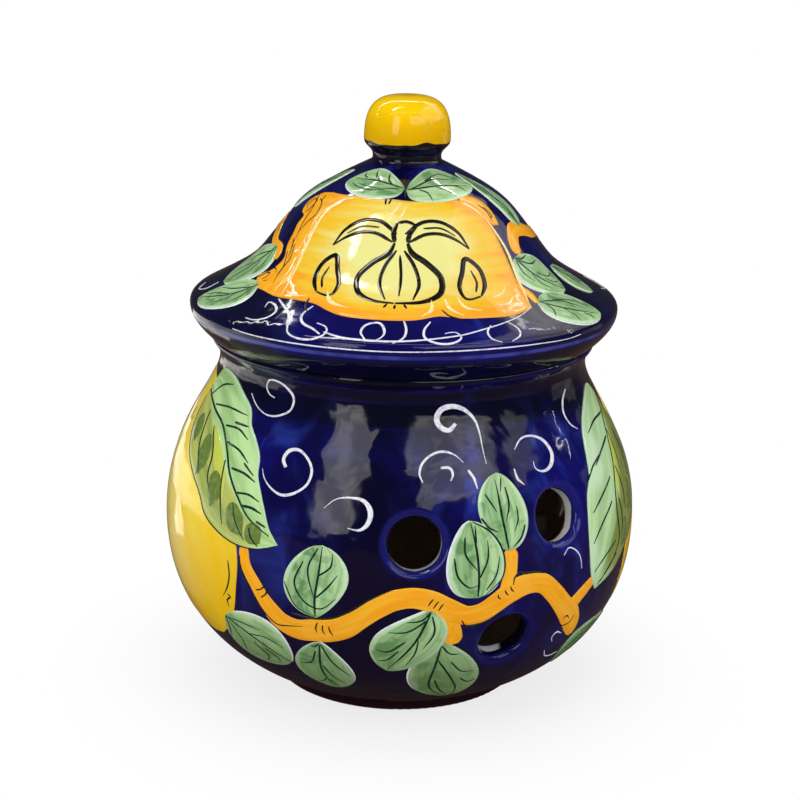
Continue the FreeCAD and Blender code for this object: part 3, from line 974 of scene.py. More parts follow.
# two edges, the gold and olive brush strokes, the veins, and which edge has a dark line
LONG_LEAVES = [
    {
        "left": [(-76.5, 105), (-76.4, 99), (-74.2, 92.4), (-67.9, 85.2), (-61.5, 80.4), (-55.3, 75.4),
                 (-52.4, 71.2), (-46.4, 67.2), (-39.9, 65.1), (-33.5, 65.6), (-28.2, 68.2)],
        "right": [(-76.5, 105), (-72.5, 110.8), (-63, 112.4), (-53.4, 108.2), (-47.1, 104.1),
                  (-45, 100.4), (-41.6, 97.2), (-38, 92), (-37.2, 87.8), (-35.2, 83.4), (-32.6, 77.2),
                  (-31, 72.8), (-28.2, 68.2)],
        "veins": [
            [(-75.6, 103.4), (-65, 100.2), (-56, 97), (-50, 91.2), (-46.4, 85.7), (-41.5, 79.6),
             (-37.2, 74.6), (-30.6, 70.4)],
            [(-72.8, 102.1), (-67.5, 106.8), (-60, 109.3)],
            [(-65.8, 101.3), (-57.6, 102.6), (-47.9, 102.5)],
            [(-55.1, 97.7), (-48.5, 98), (-44, 96.1)],
            [(-51.7, 99.5), (-45.6, 99.6)],
            [(-51.5, 93.6), (-45.6, 92.5), (-41.1, 89.9)],
            [(-46.2, 87.1), (-41.1, 86.7), (-37.2, 85.2)],
            [(-42.5, 89.6), (-38.2, 86.8)],
            [(-42.1, 80.7), (-38.4, 81.2), (-34.7, 79.9)],
            [(-40, 77.4), (-36.6, 77.6), (-33.5, 76.6)],
            [(-34.6, 74), (-31.8, 72.9)],
            [(-60.3, 95.9), (-55.1, 87.7), (-54.2, 81.7), (-51.5, 77.8)],
            [(-67.1, 99.1), (-63.6, 88.8), (-58.3, 81.3)],
            [(-49.4, 88.6), (-48.2, 81.8), (-45.1, 69.8)],
            [(-42.5, 77.4), (-41.5, 73.7), (-37.6, 67.2)],
            [(-36.5, 71.5), (-35.6, 68.8), (-33.5, 66.4)],
        ],
        "dabs": [
            [(-60.6, 93.4), (-59.4, 87.4), (-59.8, 80.4)],
            [(-51.8, 84.6), (-50.2, 79), (-50.4, 73.6)],
            [(-43.3, 77.4), (-41, 72.4), (-38.2, 68.4)],
            [(-36.8, 72.6), (-34.8, 69.6), (-33, 67.4)],
            [(-70, 97), (-69.4, 92.8), (-67.8, 88.4)],
        ],
        "gold": [
            [(-60, 96.4), (-52.6, 88.4), (-48.2, 82.5), (-46.2, 76)],
        ],
        "outline": "left",
        "tone": 0.2,
    },
    {
        "left": [(80.5, 104), (77, 107.8), (67.5, 105), (58.6, 97.6), (55.2, 88.6), (54.4, 85.4),
                 (51.4, 79.6), (50, 70.6), (50.2, 60), (51.2, 53), (53.6, 47.2)],
        "right": [(80.5, 104), (83, 97), (86, 88), (87, 79), (84, 70.6), (78, 64), (71.4, 57.4),
                  (62.5, 50.4), (53.6, 47.2)],
        "veins": [
            [(79.5, 101), (72.6, 93.2), (68.2, 84), (65, 76.6), (64, 70.1), (64.4, 59.5), (60.6, 53.6),
             (54.2, 48.6)],
            [(76, 98.4), (66.4, 98), (60.8, 96.1)],
            [(70.7, 92.2), (63.2, 89.4), (58.1, 86.6)],
            [(61.6, 88.9), (56.4, 86.6), (53.1, 83.6)],
            [(63.9, 81.4), (56.7, 76.9), (52.2, 73.5)],
            [(61.8, 74), (55, 68.2), (51.4, 63.7)],
            [(62.4, 60.6), (56.1, 56.9), (52.2, 53.6)],
            [(63.4, 55.9), (58.5, 52.2), (55.4, 48.9)],
            [(73.5, 93.6), (73.1, 87.1), (72.1, 80.8)],
            [(68.9, 83.3), (70.4, 75.9), (70.3, 68.2)],
            [(66.3, 73.4), (67.2, 68.3), (66.8, 62.2)],
            [(79, 92), (80, 84), (78.6, 76)],
        ],
        "dabs": [
            [(78.6, 91), (79.4, 85), (78.2, 79)],
            [(75.6, 77), (74.4, 71), (71.8, 65.4)],
            [(69.4, 66), (68, 61), (65.4, 57)],
        ],
        "gold": [
            [(73.6, 92.4), (70.6, 85.2), (67.9, 78.4), (67.4, 72)],
        ],
        "outline": "right",
        "tone": 0.8,
    },
]

# two edges, and the dark marks on the yellow
LEMONS = {
    "left_lemon": {
        "tone": 0.3,
        "left": [(-85, 109), (-96, 104.5), (-104.5, 92), (-107.5, 77), (-104, 60), (-95, 46), (-81, 35),
                 (-66, 29), (-57, 27.2), (-51, 28.6)],
        "right": [(-85, 109), (-72, 105.5), (-58, 96), (-47, 82), (-40.6, 68), (-39.4, 60), (-40.2, 50),
                  (-41.8, 42), (-45.4, 34.6), (-51, 28.6)],
        "marks": [
            [(-42.4, 59), (-42, 54), (-43, 49.5), (-45, 45.4)],
            [(-43.4, 47), (-42.2, 46.2), (-43.8, 44.6), (-43.4, 42)],
            [(-80, 96), (-81, 93.5), (-79, 92), (-77.5, 93.6)],
        ],
    },
    "right_lemon": {
        "tone": 0.7,
        "left": [(107, 108.5), (96, 105), (85, 95), (77.5, 81), (73, 65), (71.2, 50), (72.6, 40),
                 (76, 33), (77.4, 29.6), (78.8, 26.4)],
        "right": [(107, 108.5), (118, 106), (127, 95), (130.6, 79), (128, 62), (119.6, 47), (106, 36.4),
                  (93, 31), (84.6, 28.6), (78.8, 26.4)],
        "marks": [
            [(110, 84), (113, 80), (114, 74)],
            [(92, 45), (98, 43), (104, 44)],
            [(77, 33.6), (80, 31.8), (83.6, 30.8)],
        ],
    },
}

# with the width in mm at each place
JAR_BRANCHES = [
    [(-37.6, 66, 4), (-36.9, 59.8, 4.1), (-33.9, 53.4, 4.6), (-31, 47.6, 5.2), (-27.6, 42.6, 6.8),
     (-23.9, 40.8, 7.6), (-18.8, 41.6, 8), (-15.3, 42.3, 8.8), (-12.1, 43.9, 8), (-8.8, 47.5, 7.6),
     (-4.3, 51.9, 7), (-0.6, 54.6, 6.8), (3.6, 55.5, 6.8), (7.2, 54.4, 7.2), (11.8, 51.1, 7.2),
     (16.1, 48.7, 6.6), (19.4, 49.4, 6.8), (22.6, 52, 7), (26.5, 55.3, 7.6), (30.4, 56.8, 6.8),
     (34.3, 56.2, 6.5), (38.1, 51.9, 6.8), (41.9, 46.1, 7.2), (45.9, 40.2, 8.6), (48.2, 35.2, 7.6),
     (49.4, 31.8, 4)],
    [(8.6, 52, 6), (11.2, 47.6, 6.6), (12.4, 43.4, 6.8), (13.6, 38.6, 5.6)],
    [(25, 54.6, 5.4), (25.8, 61.6, 4.8), (26, 69.4, 5.2)],
    [(43, 42.6, 5), (46.4, 45.8, 5.4), (49.6, 48.8, 4.6), (53.4, 51.8, 3.4)],
]

# dark lines that follow or cross the branches
BRANCH_MARKS = [
    [(-24.5, 46.6), (-21, 46), (-15, 46.9), (-11, 49.6), (-6, 54.6), (-1.5, 58)],
    [(-34.6, 49.6), (-31.5, 44), (-28.6, 41.2), (-26, 41.6), (-22, 42.4)],
    [(-38.6, 62), (-38.2, 57.6), (-35.6, 51)],
    [(-34, 51.8), (-32.4, 52.6), (-31.2, 54.4)],
    [(-32.6, 49.6), (-31, 51.6), (-30.6, 53.6)],
    [(-18.2, 44.9), (-18.8, 42.6), (-18.6, 40.8)],
    [(-17, 44.2), (-17.2, 42.2), (-16.6, 40.6)],
    [(-15.6, 44), (-15.4, 42.2), (-14.6, 40.5)],
    [(8, 55.2), (7.2, 53.8), (6.8, 52.6)],
    [(9.2, 54.4), (8.4, 53), (8, 51.8)],
    [(10.3, 53.5), (9.6, 52.2), (9.2, 51)],
    [(23, 55), (23, 54), (23.8, 53.2)],
    [(24.6, 56.2), (24.9, 55), (25.6, 54.2)],
    [(26, 57.2), (26.2, 56), (27, 55)],
    [(26.6, 57.4), (27.2, 60.4), (28.4, 61.2), (29.6, 60.6), (32, 60.4), (35, 59.4)],
    [(43, 40.4), (44.4, 41.3), (45.4, 39.4)],
    [(43.4, 37.6), (46, 37.8), (47.4, 40.6)],
    [(14.6, 47.4), (15.8, 45), (18.6, 45.2), (22, 47)],
    [(8.6, 49.4), (10.4, 44.8), (10.4, 39.8)],
]

# widths in mm along each white scroll, then its places
JAR_SCROLLS = [
    ((0.5, 0.6, 0.9, 0.7, 0.5, 0.7),
     [(-39.9, 109.7), (-42.6, 110.6), (-44, 112.6), (-43, 114.6), (-40, 115.2), (-35.8, 113.7),
      (-32.9, 110.6), (-33.2, 107.4), (-35.8, 105.4), (-40, 104.3), (-44.3, 105.2), (-47.6, 107),
      (-50, 109)]),
    ((1.5, 1.3, 0.8, 0.9, 0.8, 1, 0.7, 0.5),
     [(-29.7, 91.4), (-31, 93.4), (-30.2, 95.9), (-27.5, 96.8), (-24.4, 95), (-22.4, 91.7), (-22.8, 88),
      (-25.4, 84.9), (-29, 83.4), (-32.6, 84.8), (-35.4, 87.6), (-36.4, 89.6)]),
    ((0.3, 0.35, 0.9, 1.7, 1.5, 0.5),
     [(-17.8, 81.6), (-15.1, 84.6), (-11.4, 85.4), (-8.4, 84.8), (-6.7, 82), (-6.9, 78.8), (-8.8, 76.2),
      (-11.7, 76.5)]),
    ((1.6, 1.7, 1.8, 1.7, 1.4, 1, 0.6, 0.5, 0.35),
     [(15.3, 106.5), (13.4, 104.7), (11, 105.6), (9.9, 107.9), (11.1, 110.5), (14.3, 111.6),
      (18.3, 110.3), (21.1, 107.1), (21.9, 103.4), (22, 99), (22.3, 94.8)]),
    ((0.9, 0.9, 0.6), [(10.2, 94.4), (12.6, 94.2), (13.2, 92.4), (12.4, 90.6)]),
    ((0.5, 0.8, 0.8, 0.8, 0.4),
     [(5.6, 90.4), (4.8, 92.6), (5.2, 95), (7.3, 97.6), (11, 98.9), (14.3, 97.7), (16.2, 95.6)]),
    ((0.9, 0.9, 0.7), [(17.2, 93.4), (18.4, 91.2), (19, 88)]),
    ((0.5, 0.7, 0.8, 1.3, 1.5, 1, 0.5),
     [(31.2, 97.6), (33.9, 100.2), (38.2, 100.4), (41.8, 98), (42.9, 94.4), (41.2, 91.2), (38, 90.2),
      (36, 91.6), (36.1, 93.4)]),
    ((0.5, 1, 0.4), [(29.8, 92.4), (30.2, 89.4), (31.8, 87.4)]),
    ((0.5, 0.9, 0.9, 0.5), [(58.2, 110.6), (54.9, 107.4), (53.4, 103.8), (54.4, 100.6), (57, 98.4)]),
    ((0.35, 0.5, 0.35), [(41, 63.4), (42.4, 65.4), (44.6, 64.2), (46.6, 60.8), (47.2, 56.8)]),
    ((0.35, 0.5, 0.35), [(41.4, 28.2), (43.2, 25.2), (46.2, 24), (49, 24.6)]),
    ((0.6, 0.6, 0.35), [(44.6, 34.2), (42.6, 35.4), (41.6, 34), (42.6, 31.4)]),
]


# ---------------------------------------------------------------- the lid's painting

# laid out as on the jar
LID_LEAVES = {
    "top_left": ((-1.4, 173.4), (-56, 174), (-24, 170.6), (-30, 178), "flat", 1, (-0.6, -0.4)),
    "top_right": ((0, 173), (60, 173), (31, 178.2), (16, 169.8), "flat", 1, (0, 0)),
    "left_upper": ((-66, 152.8), (-76, 139.6), (-63, 144.4), (-87, 147.6), "lean", 1, (0.5, 0)),
    "left_lower": ((-56, 142.6), (-74, 135), (-57, 136.4), (-69, 141.2), "lean", 2, (0.4, -0.4)),
    "right_upper": ((50.4, 152.6), (64.5, 141.6), (66.8, 150), (48.6, 144.6), "fan", 1, (-0.4, -0.2)),
    "right_lower": ((46, 141), (65.6, 135.2), (59.6, 141.6), (50, 135.4), "flat", 2, (-0.4, -0.4)),
    "far_right": ((74, 147.4), (79, 138.4), (84, 143.6), (72.4, 141.4), "lean", 1, (0, 0)),
    "shoulder_right": ((70.5, 160.2), (62, 176.4), (62.6, 167), (79, 168.6), "lean", 1, (-0.3, 0)),
    "shoulder_left": ((-89, 163), (-72, 176.4), (-94, 171.4), (-78, 167.6), "lean", 1, (0.3, 0)),
    "back_left_high": ((116, 150), (124, 166), (109, 160), (130, 157), "full", 1, (0.3, 0)),
    "back_left_low": ((132, 149), (122, 138), (136, 142), (118, 145), "fan", 1, (0, 0.3)),
    "back_mid_left": ((164, 161), (146, 147), (160, 149), (144, 157), "fan", 2, (0.4, 0)),
    "back_mid_right": ((196, 161), (214, 147), (216, 157), (200, 149), "lean", 2, (0.4, 0)),
    "back_right_high": ((236, 150), (228, 166), (222, 157), (244, 160), "tall", 1, (0.3, 0)),
    "back_right_low": ((228, 149), (240, 138), (243, 146), (226, 142), "fan", 1, (0, 0.3)),
    "back_top_left": ((178, 172), (140, 174), (160, 177.4), (160, 169.4), "flat", 1, (0, 0)),
    "back_top_right": ((182, 172), (220, 174), (200, 169.4), (200, 177.4), "flat", 1, (0, 0)),
}

LID_BRANCHES = [
    [(-61, 149.4, 3.6), (-62.6, 152, 3.2), (-72, 153.4, 4.2), (-82, 156.4, 5.2), (-92, 158.6, 4),
     (-104, 156, 3.6), (-122, 151, 3.6), (-140, 152, 3.6), (-158, 159, 3.6), (-180, 164, 3.4),
     (-202, 159, 3.6), (-220, 152, 3.6), (-238, 151, 3.6), (-256, 153, 3.6), (-272, 156.6, 3.8),
     (-281, 157.6, 3.8), (-290, 159.4, 4.4), (-299, 159.6, 5.4), (-304, 156.6, 5.6), (-306, 153.4, 4.6)],
    [(44, 145.6, 1.6), (45.8, 143, 3.4), (45.4, 140.8, 2.4)],
]

LID_LEMON = {
    "left": [(174, 163), (167, 158), (163, 151), (165, 144), (172, 139.4), (179, 137.6)],
    "right": [(174, 163), (184, 162), (193, 156), (196, 148), (191, 141.6), (179, 137.6)],
}

BRIM_SCROLLS_AND_HIGHLIGHT = [
    ((0.5, 0.7, 0.9, 0.6),
     [(-46, 135.6), (-42.6, 135.6), (-39.6, 136.6), (-38.8, 138.4), (-41.2, 139.6), (-44.2, 139.9),
      (-43.6, 138.6)]),
    ((0.8, 0.9, 0.6, 0.7, 0.9),
     [(-42.1, 141), (-38, 139.8), (-34.2, 138.4), (-31.6, 136), (-29.6, 134), (-26.6, 133.2),
      (-22.6, 133.6), (-20, 135.2), (-21, 136.8), (-23.8, 137.3)]),
    ((0.6, 0.9, 1), [(-28.4, 140.8), (-29.8, 138.6), (-27.6, 136.8), (-24, 136), (-21.4, 135)]),
    ((0.9, 0.7, 0.6, 0.5, 0.6),
     [(-20.6, 135.6), (-16, 134.8), (-10.3, 134.5), (-3, 134.5), (4.2, 134.9), (10, 135.4), (15.4, 135.9),
      (21.5, 136.8), (29.4, 137.9), (36, 139), (41.4, 140.2)]),
    ((0.6, 0.8, 0.9, 0.6),
     [(-9.4, 134.6), (-11, 136.2), (-9.8, 138), (-7, 138.5), (-5, 137), (-5.6, 135.2), (-7.4, 134.3)]),
    ((0.6, 0.8, 0.5), [(0.2, 139), (0.8, 137), (-0.4, 135), (-2.6, 134)]),
    ((0.6, 0.8, 0.7, 0.6),
     [(7.6, 138.9), (5.6, 137.2), (5.8, 135.2), (8.6, 134.1), (12.4, 134.1), (14.8, 135.2), (13.4, 136.6),
      (10.8, 136.3)]),
    ((0.5, 0.7, 0.4), [(24.4, 137.6), (22.4, 136.2), (23, 134.4), (25.2, 133.6)]),
    ((0.4, 0.7, 0.5), [(28, 133.6), (30.6, 134.6), (31.6, 136.4), (29.8, 138)]),
    ((0.4, 0.6, 0.3), [(-88.2, 136.7), (-84, 135.6), (-80, 136.6), (-79.3, 139)]),
    # the last line is a painted highlight: a thin white line along the brim's edge
    ((0.42, 0.5, 0.38, 0.46, 0.42),
     [(-48.2, 132), (-43.3, 131.7), (-32, 131.6), (-18, 131.6), (-1, 131.6), (12, 131.8), (24, 131.9),
      (36, 131.8), (47, 131.6), (51.2, 131.9)]),
]

LABEL_EDGES = {
    "bottom": [(-52, 141.9), (-44, 141.3), (-35, 141.5), (-27.5, 141.2), (-24, 140.4), (-19, 139.5),
               (-9, 139.1), (3, 139.2), (12, 140), (14, 139.7), (25, 139.2), (33, 139.1), (42, 140.2)],
    "top": [(-50, 169.4), (-34.4, 170.7), (-22, 170.4), (-9, 170.6), (8, 170.2), (22, 170.7), (34, 170.3),
            (47, 168.8)],
    "left": [(-52, 141.9), (-50.5, 145.5), (-51, 151), (-52.5, 156), (-51, 161), (-52, 166),
             (-50, 169.4)],
    "right": [(42, 140.2), (44, 144), (45.6, 149), (46.4, 155), (46.8, 160), (46, 164.6), (47, 168.8)],
}

# the rolled ends of the label, as the two edges of each
ROLLS = [
    ([(-57, 142), (-61.5, 144.4), (-57, 147.6), (-55.6, 150.4), (-59, 154), (-61, 157.6), (-63, 160.6),
      (-62.6, 162.8), (-68, 163.8), (-71, 166.6), (-66, 169.4), (-56, 170.4)],
     [(-45, 141.6), (-46.4, 147.7), (-47.6, 153.9), (-49, 160.7), (-48.6, 167.1), (-40, 170.5)]),
    ([(35, 169.8), (40, 168.6), (44.6, 165.8), (48, 162.4)],
     [(38, 170.9), (45, 171), (52.6, 169), (54, 165.6), (52.6, 162.2)]),
]

# dark lines on and about the label's ends
ROLL_MARKS = [
    [(-64, 163.8), (-62, 164.8), (-61.6, 167.2), (-65.6, 167.8), (-67.4, 165.8), (-64.4, 164.8)],
    [(-61, 168.2), (-56, 167.4), (-53, 164.2), (-56, 161), (-57.4, 157.6)],
    [(-59.4, 169.4), (-57.6, 167.8)],
    [(-54, 155), (-51.6, 151), (-52.4, 147), (-50.4, 143.8)],
    [(-59.4, 145.2), (-57.4, 146), (-56.6, 144.6), (-58, 143.8)],
    [(-56, 143.6), (-54.4, 144.2)],
    [(-92, 156.8), (-86, 155), (-75, 152.2), (-66, 151.6)],
    [(-80.6, 157.2), (-79, 156.4), (-80.4, 155.8)],
    [(49.4, 167.6), (51, 166), (50.6, 164.2), (49.4, 165)],
    [(-13, 170.7), (-12.2, 169)],
    [(-9.6, 170.6), (-10.4, 169.2)],
    [(11.6, 141.4), (14, 139.8), (17, 139.2)],
    [(-31.4, 142.4), (-30.8, 140.4), (-28.4, 139.2)],
    [(-1.6, 176.4), (-1, 173.6), (-0.6, 171)],
    [(-66.6, 169), (-60, 165.6), (-58.6, 161), (-56.6, 157), (-55, 153.6)],
    [(-57.6, 156.4), (-54.6, 154), (-53, 150.6)],
    [(-55.8, 152.6), (-52.8, 149), (-51.6, 145.8)],
    [(-60.6, 144), (-56, 147.4), (-53.6, 146.4)],
    [(46.6, 168.4), (49.4, 166.4), (49, 163.2)],
]

# pale curls, like light on rolled paper: widths in mm, then places
LABEL_CURLS = [
    ((0.5, 1.1, 0.4), [(-42, 143.1), (-38, 142.4), (-33, 142.7)]),
    ((0.5, 1.5, 0.4), [(-27, 144.8), (-23.6, 142.2), (-17, 141.2)]),
    ((0.5, 1.3, 0.4), [(5, 140), (8.2, 141.2), (9, 143.8)]),
    ((0.5, 1.3, 0.4), [(13.4, 144.1), (14.4, 141.6), (18, 140)]),
    ((0.5, 1.2, 0.4), [(18, 144.1), (19.4, 141.8), (24, 140.8)]),
    ((0.4, 1, 0.4), [(30.6, 143.6), (35, 144.2), (38, 145.8)]),
    ((0.4, 1, 0.4), [(30.6, 141.7), (35, 141.8), (38.4, 143.2)]),
    ((0.4, 0.9, 0.4), [(-10, 165.7), (-6.4, 167.4), (-3, 169.8)]),
    ((0.4, 0.9, 0.4), [(-6, 164.4), (-2.2, 166.4), (0, 169)]),
    ((0.5, 0.9, 1, 0.8),
     [(-38, 170.3), (-46.4, 167.1), (-47.6, 160.7), (-46.2, 153.9), (-45, 147.7), (-42.4, 141.9)]),
    ((0.4, 0.7, 0.4), [(-44, 168.6), (-50.4, 164), (-50, 160)]),
    ((0.4, 0.8, 0.5, 0.8, 0.4), [(-51.6, 163.4), (-48, 161), (-50, 157), (-46.6, 154.6), (-48.4, 151)]),
    ((0.4, 0.9, 0.4), [(-49.6, 152), (-47.8, 148.4), (-49.2, 145)]),
    ((0.4, 0.8, 0.4), [(-46.8, 149.4), (-45.8, 146), (-47.4, 142.8)]),
    ((0.6, 1, 0.4), [(36, 169.4), (42, 167.4), (44.4, 164.6)]),
    ((0.5, 1, 1.2, 0.8),
     [(45.4, 165.4), (47.6, 160), (48.4, 156.2), (47.4, 151), (45.4, 145.6), (41.2, 140)]),
]

# the garlic on the label, in mm about its place: a width, then the line
GARLIC_PLACE = (-2, 143)
GARLIC_LINES = [
    (1.5, [(-1.5, 18.2), (-2.6, 15.4), (-7, 12), (-10.8, 7.4), (-10.2, 2.8), (-6.2, 0.4), (-0.8, -0.2)]),
    (1.7, [(1.8, 18.2), (2.8, 15.6), (6.8, 12.4), (10.8, 8), (10.8, 3.2), (7, 0.6), (-0.8, -0.2)]),
    (1.1, [(-0.9, 16), (-3.6, 11.6), (-4.9, 6.4), (-3.2, 0.9)]),
    (1.1, [(1, 16), (3.6, 11.8), (5.2, 6.6), (3.8, 1)]),
    (0.9, [(0, 14.6), (0.5, 8.6), (0.2, 2.2)]),
    (1.4, [(-1.5, 18.2), (-1.9, 21.2), (-1, 24)]),
    (1.4, [(1.8, 18.2), (2.3, 20.8), (4, 23.2)]),
    (1.1, [(-1, 24), (1.4, 24.4), (4, 23.2)]),
    (0.9, [(-2.6, -0.4), (-3.6, -2)]),
    (0.9, [(-0.6, -0.6), (-0.8, -2.4)]),
    (0.9, [(1.6, -0.4), (2.4, -2.1)]),
]

# the left clove, about a place of its own
CLOVE_LINES = [
    (1.4, [(-3.4, 1), (-4.4, 5), (-2.6, 9.6), (1.4, 12.6), (2.2, 8.6), (2.8, 4), (0.6, 0.2), (-3.4, 1)]),
    (0.8, [(-1.8, 2.4), (-2, 5.6), (-0.2, 9.2)]),
]

# the right green, which bends down from the top of the bulb
GREEN_LINES = [
    (1.2, [(1, 20.6), (5.4, 24.2), (10.6, 24), (15.4, 20.6), (18.6, 15.8)]),
    (1.1, [(2, 18.2), (6.4, 20.6), (11.2, 20.4), (15.2, 18.4), (18.6, 15.8)]),
    (0.7, [(5.6, 22.4), (10.6, 22.2), (14.6, 19.8)]),
]


# ---------------------------------------------------------------- settings

ELEVATION = math.radians(15.38)
ROLL = math.radians(1.24)


def colour(label, text, *value):
    """A colour that the user may change."""
    return FloatVectorProperty(
        name=label, description=text, subtype="COLOR", size=3, min=0, max=1, default=shade(*value)
    )


def amount(label, text, default, least, most, **more):
    """A size or strength that the user may change."""
    return FloatProperty(name=label, description=text, default=default, min=least, max=most, **more)


class GlazeColours(bpy.types.PropertyGroup):
    """Colours of the glazes and paints."""

    cobalt_deep: colour("Deep cobalt", "Ground colour where the blue lies thickest", 6, 4, 34)
    cobalt: colour("Cobalt", "Ground colour of the jar and the lid", 15, 13, 98)
    cobalt_bright: colour("Bright cobalt", "Where the blue lies thin", 38, 54, 150)
    # painted highlight along the brim's edge
    brim_edge_highlight: colour("Cobalt edge", "Blue that runs thin over an edge", 66, 74, 160)
    # painted highlight: lighter blue on the vents' rounded rims
    vent_rim_highlight: colour("Vent rim", "Blue that runs thin round the vents", 30, 32, 124)
    # painted shade with a brown painted reflection, dark brown at the foot
    foot_shade_brown: colour("Pooled glaze", "Dark brown where the glaze gathers at the foot", 38, 16, 24)
    tin_white: colour("Tin white", "Glaze inside the jar and the lid", 226, 224, 218)
    knob_top: colour("Knob top", "Yellow on top of the knob", 255, 205, 0)
    knob_low: colour("Knob side", "Yellow round the lower knob", 226, 172, 0)
    leaf_pale: colour("Pale leaf", "Thin wash of green", 184, 217, 162)
    leaf_mid: colour("Leaf", "Second wash of green", 142, 188, 126)
    leaf_dark: colour("Dark leaf", "Where the brush went twice", 86, 134, 78)
    leaf_olive: colour("Olive leaf", "Shaded half of the long leaves", 192, 200, 106)
    long_pale: colour("Pale long leaf", "Thin wash of the long leaves", 194, 232, 162)
    long_mid: colour("Long leaf", "Second wash of the long leaves", 150, 194, 122)
    leaf_rim: colour("Leaf rim", "Nearly bare white along the rim", 206, 235, 196)
    leaf_gold: colour("Gold leaf", "Yellow-green beside the midrib", 200, 212, 84)
    branch: colour("Branch", "Orange of the branches", 252, 166, 26)
    branch_light: colour("Light branch", "Thin orange", 255, 186, 46)
    lemon: colour("Lemon", "Yellow of the lemons", 255, 220, 36)
    lemon_pale: colour("Pale lemon", "Thin yellow", 255, 236, 96)
    lemon_deep: colour("Deep lemon", "Yellow at the lemon's point", 240, 190, 0)
    label_middle: colour("Label middle", "Pale yellow in the middle of the label", 236, 232, 146)
    label_gold: colour("Label gold", "Gold round the middle", 244, 200, 52)
    label_thin: colour("Thin label yellow", "Streaks where the brush ran dry", 248, 224, 118)
    label_edge: colour("Label edge", "Orange at the label's edge", 252, 168, 40)
    ink: colour("Ink", "Dark line of veins and outlines", 14, 40, 34)
    scroll: colour("Scroll", "White of the scrolls", 236, 236, 242)


class BrushSizes(bpy.types.PropertyGroup):
    """Widths of the painted lines."""

    vein: amount("Vein width", "Width of a leaf's dark lines, in mm", 0.86, 0.3, 1.5)
    outline: amount("Outline width", "Width of the branch's dark lines, in mm", 0.7, 0.3, 1.5)
    scroll: amount("Scroll width", "Scale of the white scroll lines", 1.0, 0.5, 2.0, subtype="FACTOR")
    garlic: amount("Garlic line", "Scale of the garlic's black lines", 1.3, 0.5, 2.0, subtype="FACTOR")
    garlic_size: amount("Garlic size", "Scale of the whole garlic", 1.22, 0.5, 1.6, subtype="FACTOR")


class StageSettings(bpy.types.PropertyGroup):
    """Camera and light."""

    distance: amount("Distance", "Camera to the keeper's middle", 0.65, 0.3, 5, unit="LENGTH")
    elevation: amount("Elevation", "Camera above the horizon", ELEVATION, -1.5, 1.5, subtype="ANGLE")
    roll: amount("Roll", "Camera turned about its view", ROLL, -1.5, 1.5, subtype="ANGLE")
    lens: amount("Lens", "Focal length on a 36 mm sensor", 85.28, 20, 300, unit="CAMERA")
    key: amount("Key light", "Power of the main soft light", 6.5, 0, 100, unit="POWER")
    fill: amount("Fill", "Strength of the even light from all round", 0.5, 0, 2)


# ---------------------------------------------------------------- painting, one operator a group

LEMON_INK = shade(40, 60, 20)
BRANCH_INK = shade(60, 40, 10)
LEAF_INK = shade(30, 66, 50)
BARE_WHITE = shade(214, 226, 214)
SCROLL_GREY = shade(190, 190, 214)
SCROLL_ROUGHNESS = 0.16
OLIVE_WASH = (shade(104, 126, 58), shade(124, 148, 76))
GOLD_WASH = shade(196, 206, 96)
LABEL_INK = (shade(22, 18, 14), shade(46, 38, 26))
CURL_WHITE = (shade(255, 236, 178), shade(255, 214, 120))

# numbers that start the throws of the dice
LEAF_DICE = 11
LONG_LEAF_DICE = 23

# by which the streaks of one stroke differ from another's
LID_LEMON_TONE = 0.9
ROLL_TONE = 0.4
LABEL_TONE = 0.5

# the long leaves: lines as shares of the vein width, washes as widths in mm along the stroke
LONG_LEAF_LAYER = 2
LONG_MIDRIB = 1.1
LONG_VEINS = (0.8, 1.15)
EDGE_LINE = 0.9
EDGE_ROWS = slice(3, -3)    # of a leaf that its dark edge line follows
DAB_WIDTHS = (4.8, 8.0, 6.0)
GOLD_WIDTHS = (2.4, 5.2, 4.4, 2.4)
WIDE_STROKE = 2             # mm, the cells of a stroke that is wide enough to bend with the skin

# how wide a line's two ends are, against its middle
MARK_ENDS = (0.6, 0.3)
LONG_VEIN_ENDS = (0.8, 0.4)
EDGE_LINE_ENDS = (0.4, 0.4)
SCROLL_ENDS = (0.7, 0.5)
CURL_ENDS = (0.4, 0.3)
GARLIC_ENDS = (0.5, 0.5)

CLOVE_SHIFT = (18.72, 0.6)  # mm sideways from the bulb's middle and up
LABEL_ON_SHEET = (70, 40)   # mm on the baking sheet


def dress(node, material):
    """Gives a node of the frame its glaze."""
    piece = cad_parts[node]
    piece.data.materials.clear()
    piece.data.materials.append(material)


class KEEPER_OT_glaze_turned(bpy.types.Operator):
    """Glaze the jar, the lid and the knob"""

    bl_idname = "keeper.glaze_turned"
    bl_label = "Glaze the jar, lid and knob"

    def execute(self, context):
        colours = context.scene.keeper_colours
        dress("jar_body", jar_glaze(colours))
        dress("lid", lid_glaze(colours))
        dress("lid_knob", knob_glaze(colours))
        return {"FINISHED"}


class KEEPER_OT_paint_lemons(bpy.types.Operator):
    """Paint the two lemons at the sides of the jar and the one at the back of the lid"""

    bl_idname = "keeper.paint_lemons"
    bl_label = "Paint the lemons"

    def execute(self, context):
        colours = context.scene.keeper_colours
        width = context.scene.keeper_brushes.outline
        yellow = lemon_glaze(colours)
        marks = Brushwork(JAR)
        for name, lemon in LEMONS.items():
            body = Brushwork(JAR)
            left, right = lemon["left"], lemon["right"]
            body.between(left, right, LIFT_LEMON, tone=lemon["tone"], crown=LEMON_CROWN)
            body.build(name, yellow, "lemon_paint")
            for line in lemon["marks"]:
                marks.placed(line, width, LIFT_LEMON + LIFT_INK + LEMON_CROWN)
        marks.build("lemon_marks", line_glaze("lemon_ink", colours.ink, LEMON_INK), "black_paint")
        back = Brushwork(LID)
        left, right = LID_LEMON["left"], LID_LEMON["right"]
        back.between(left, right, LIFT_LEMON, tone=LID_LEMON_TONE, crown=LEMON_CROWN)
        back.build("lid_lemon", yellow, "lemon_paint")
        return {"FINISHED"}


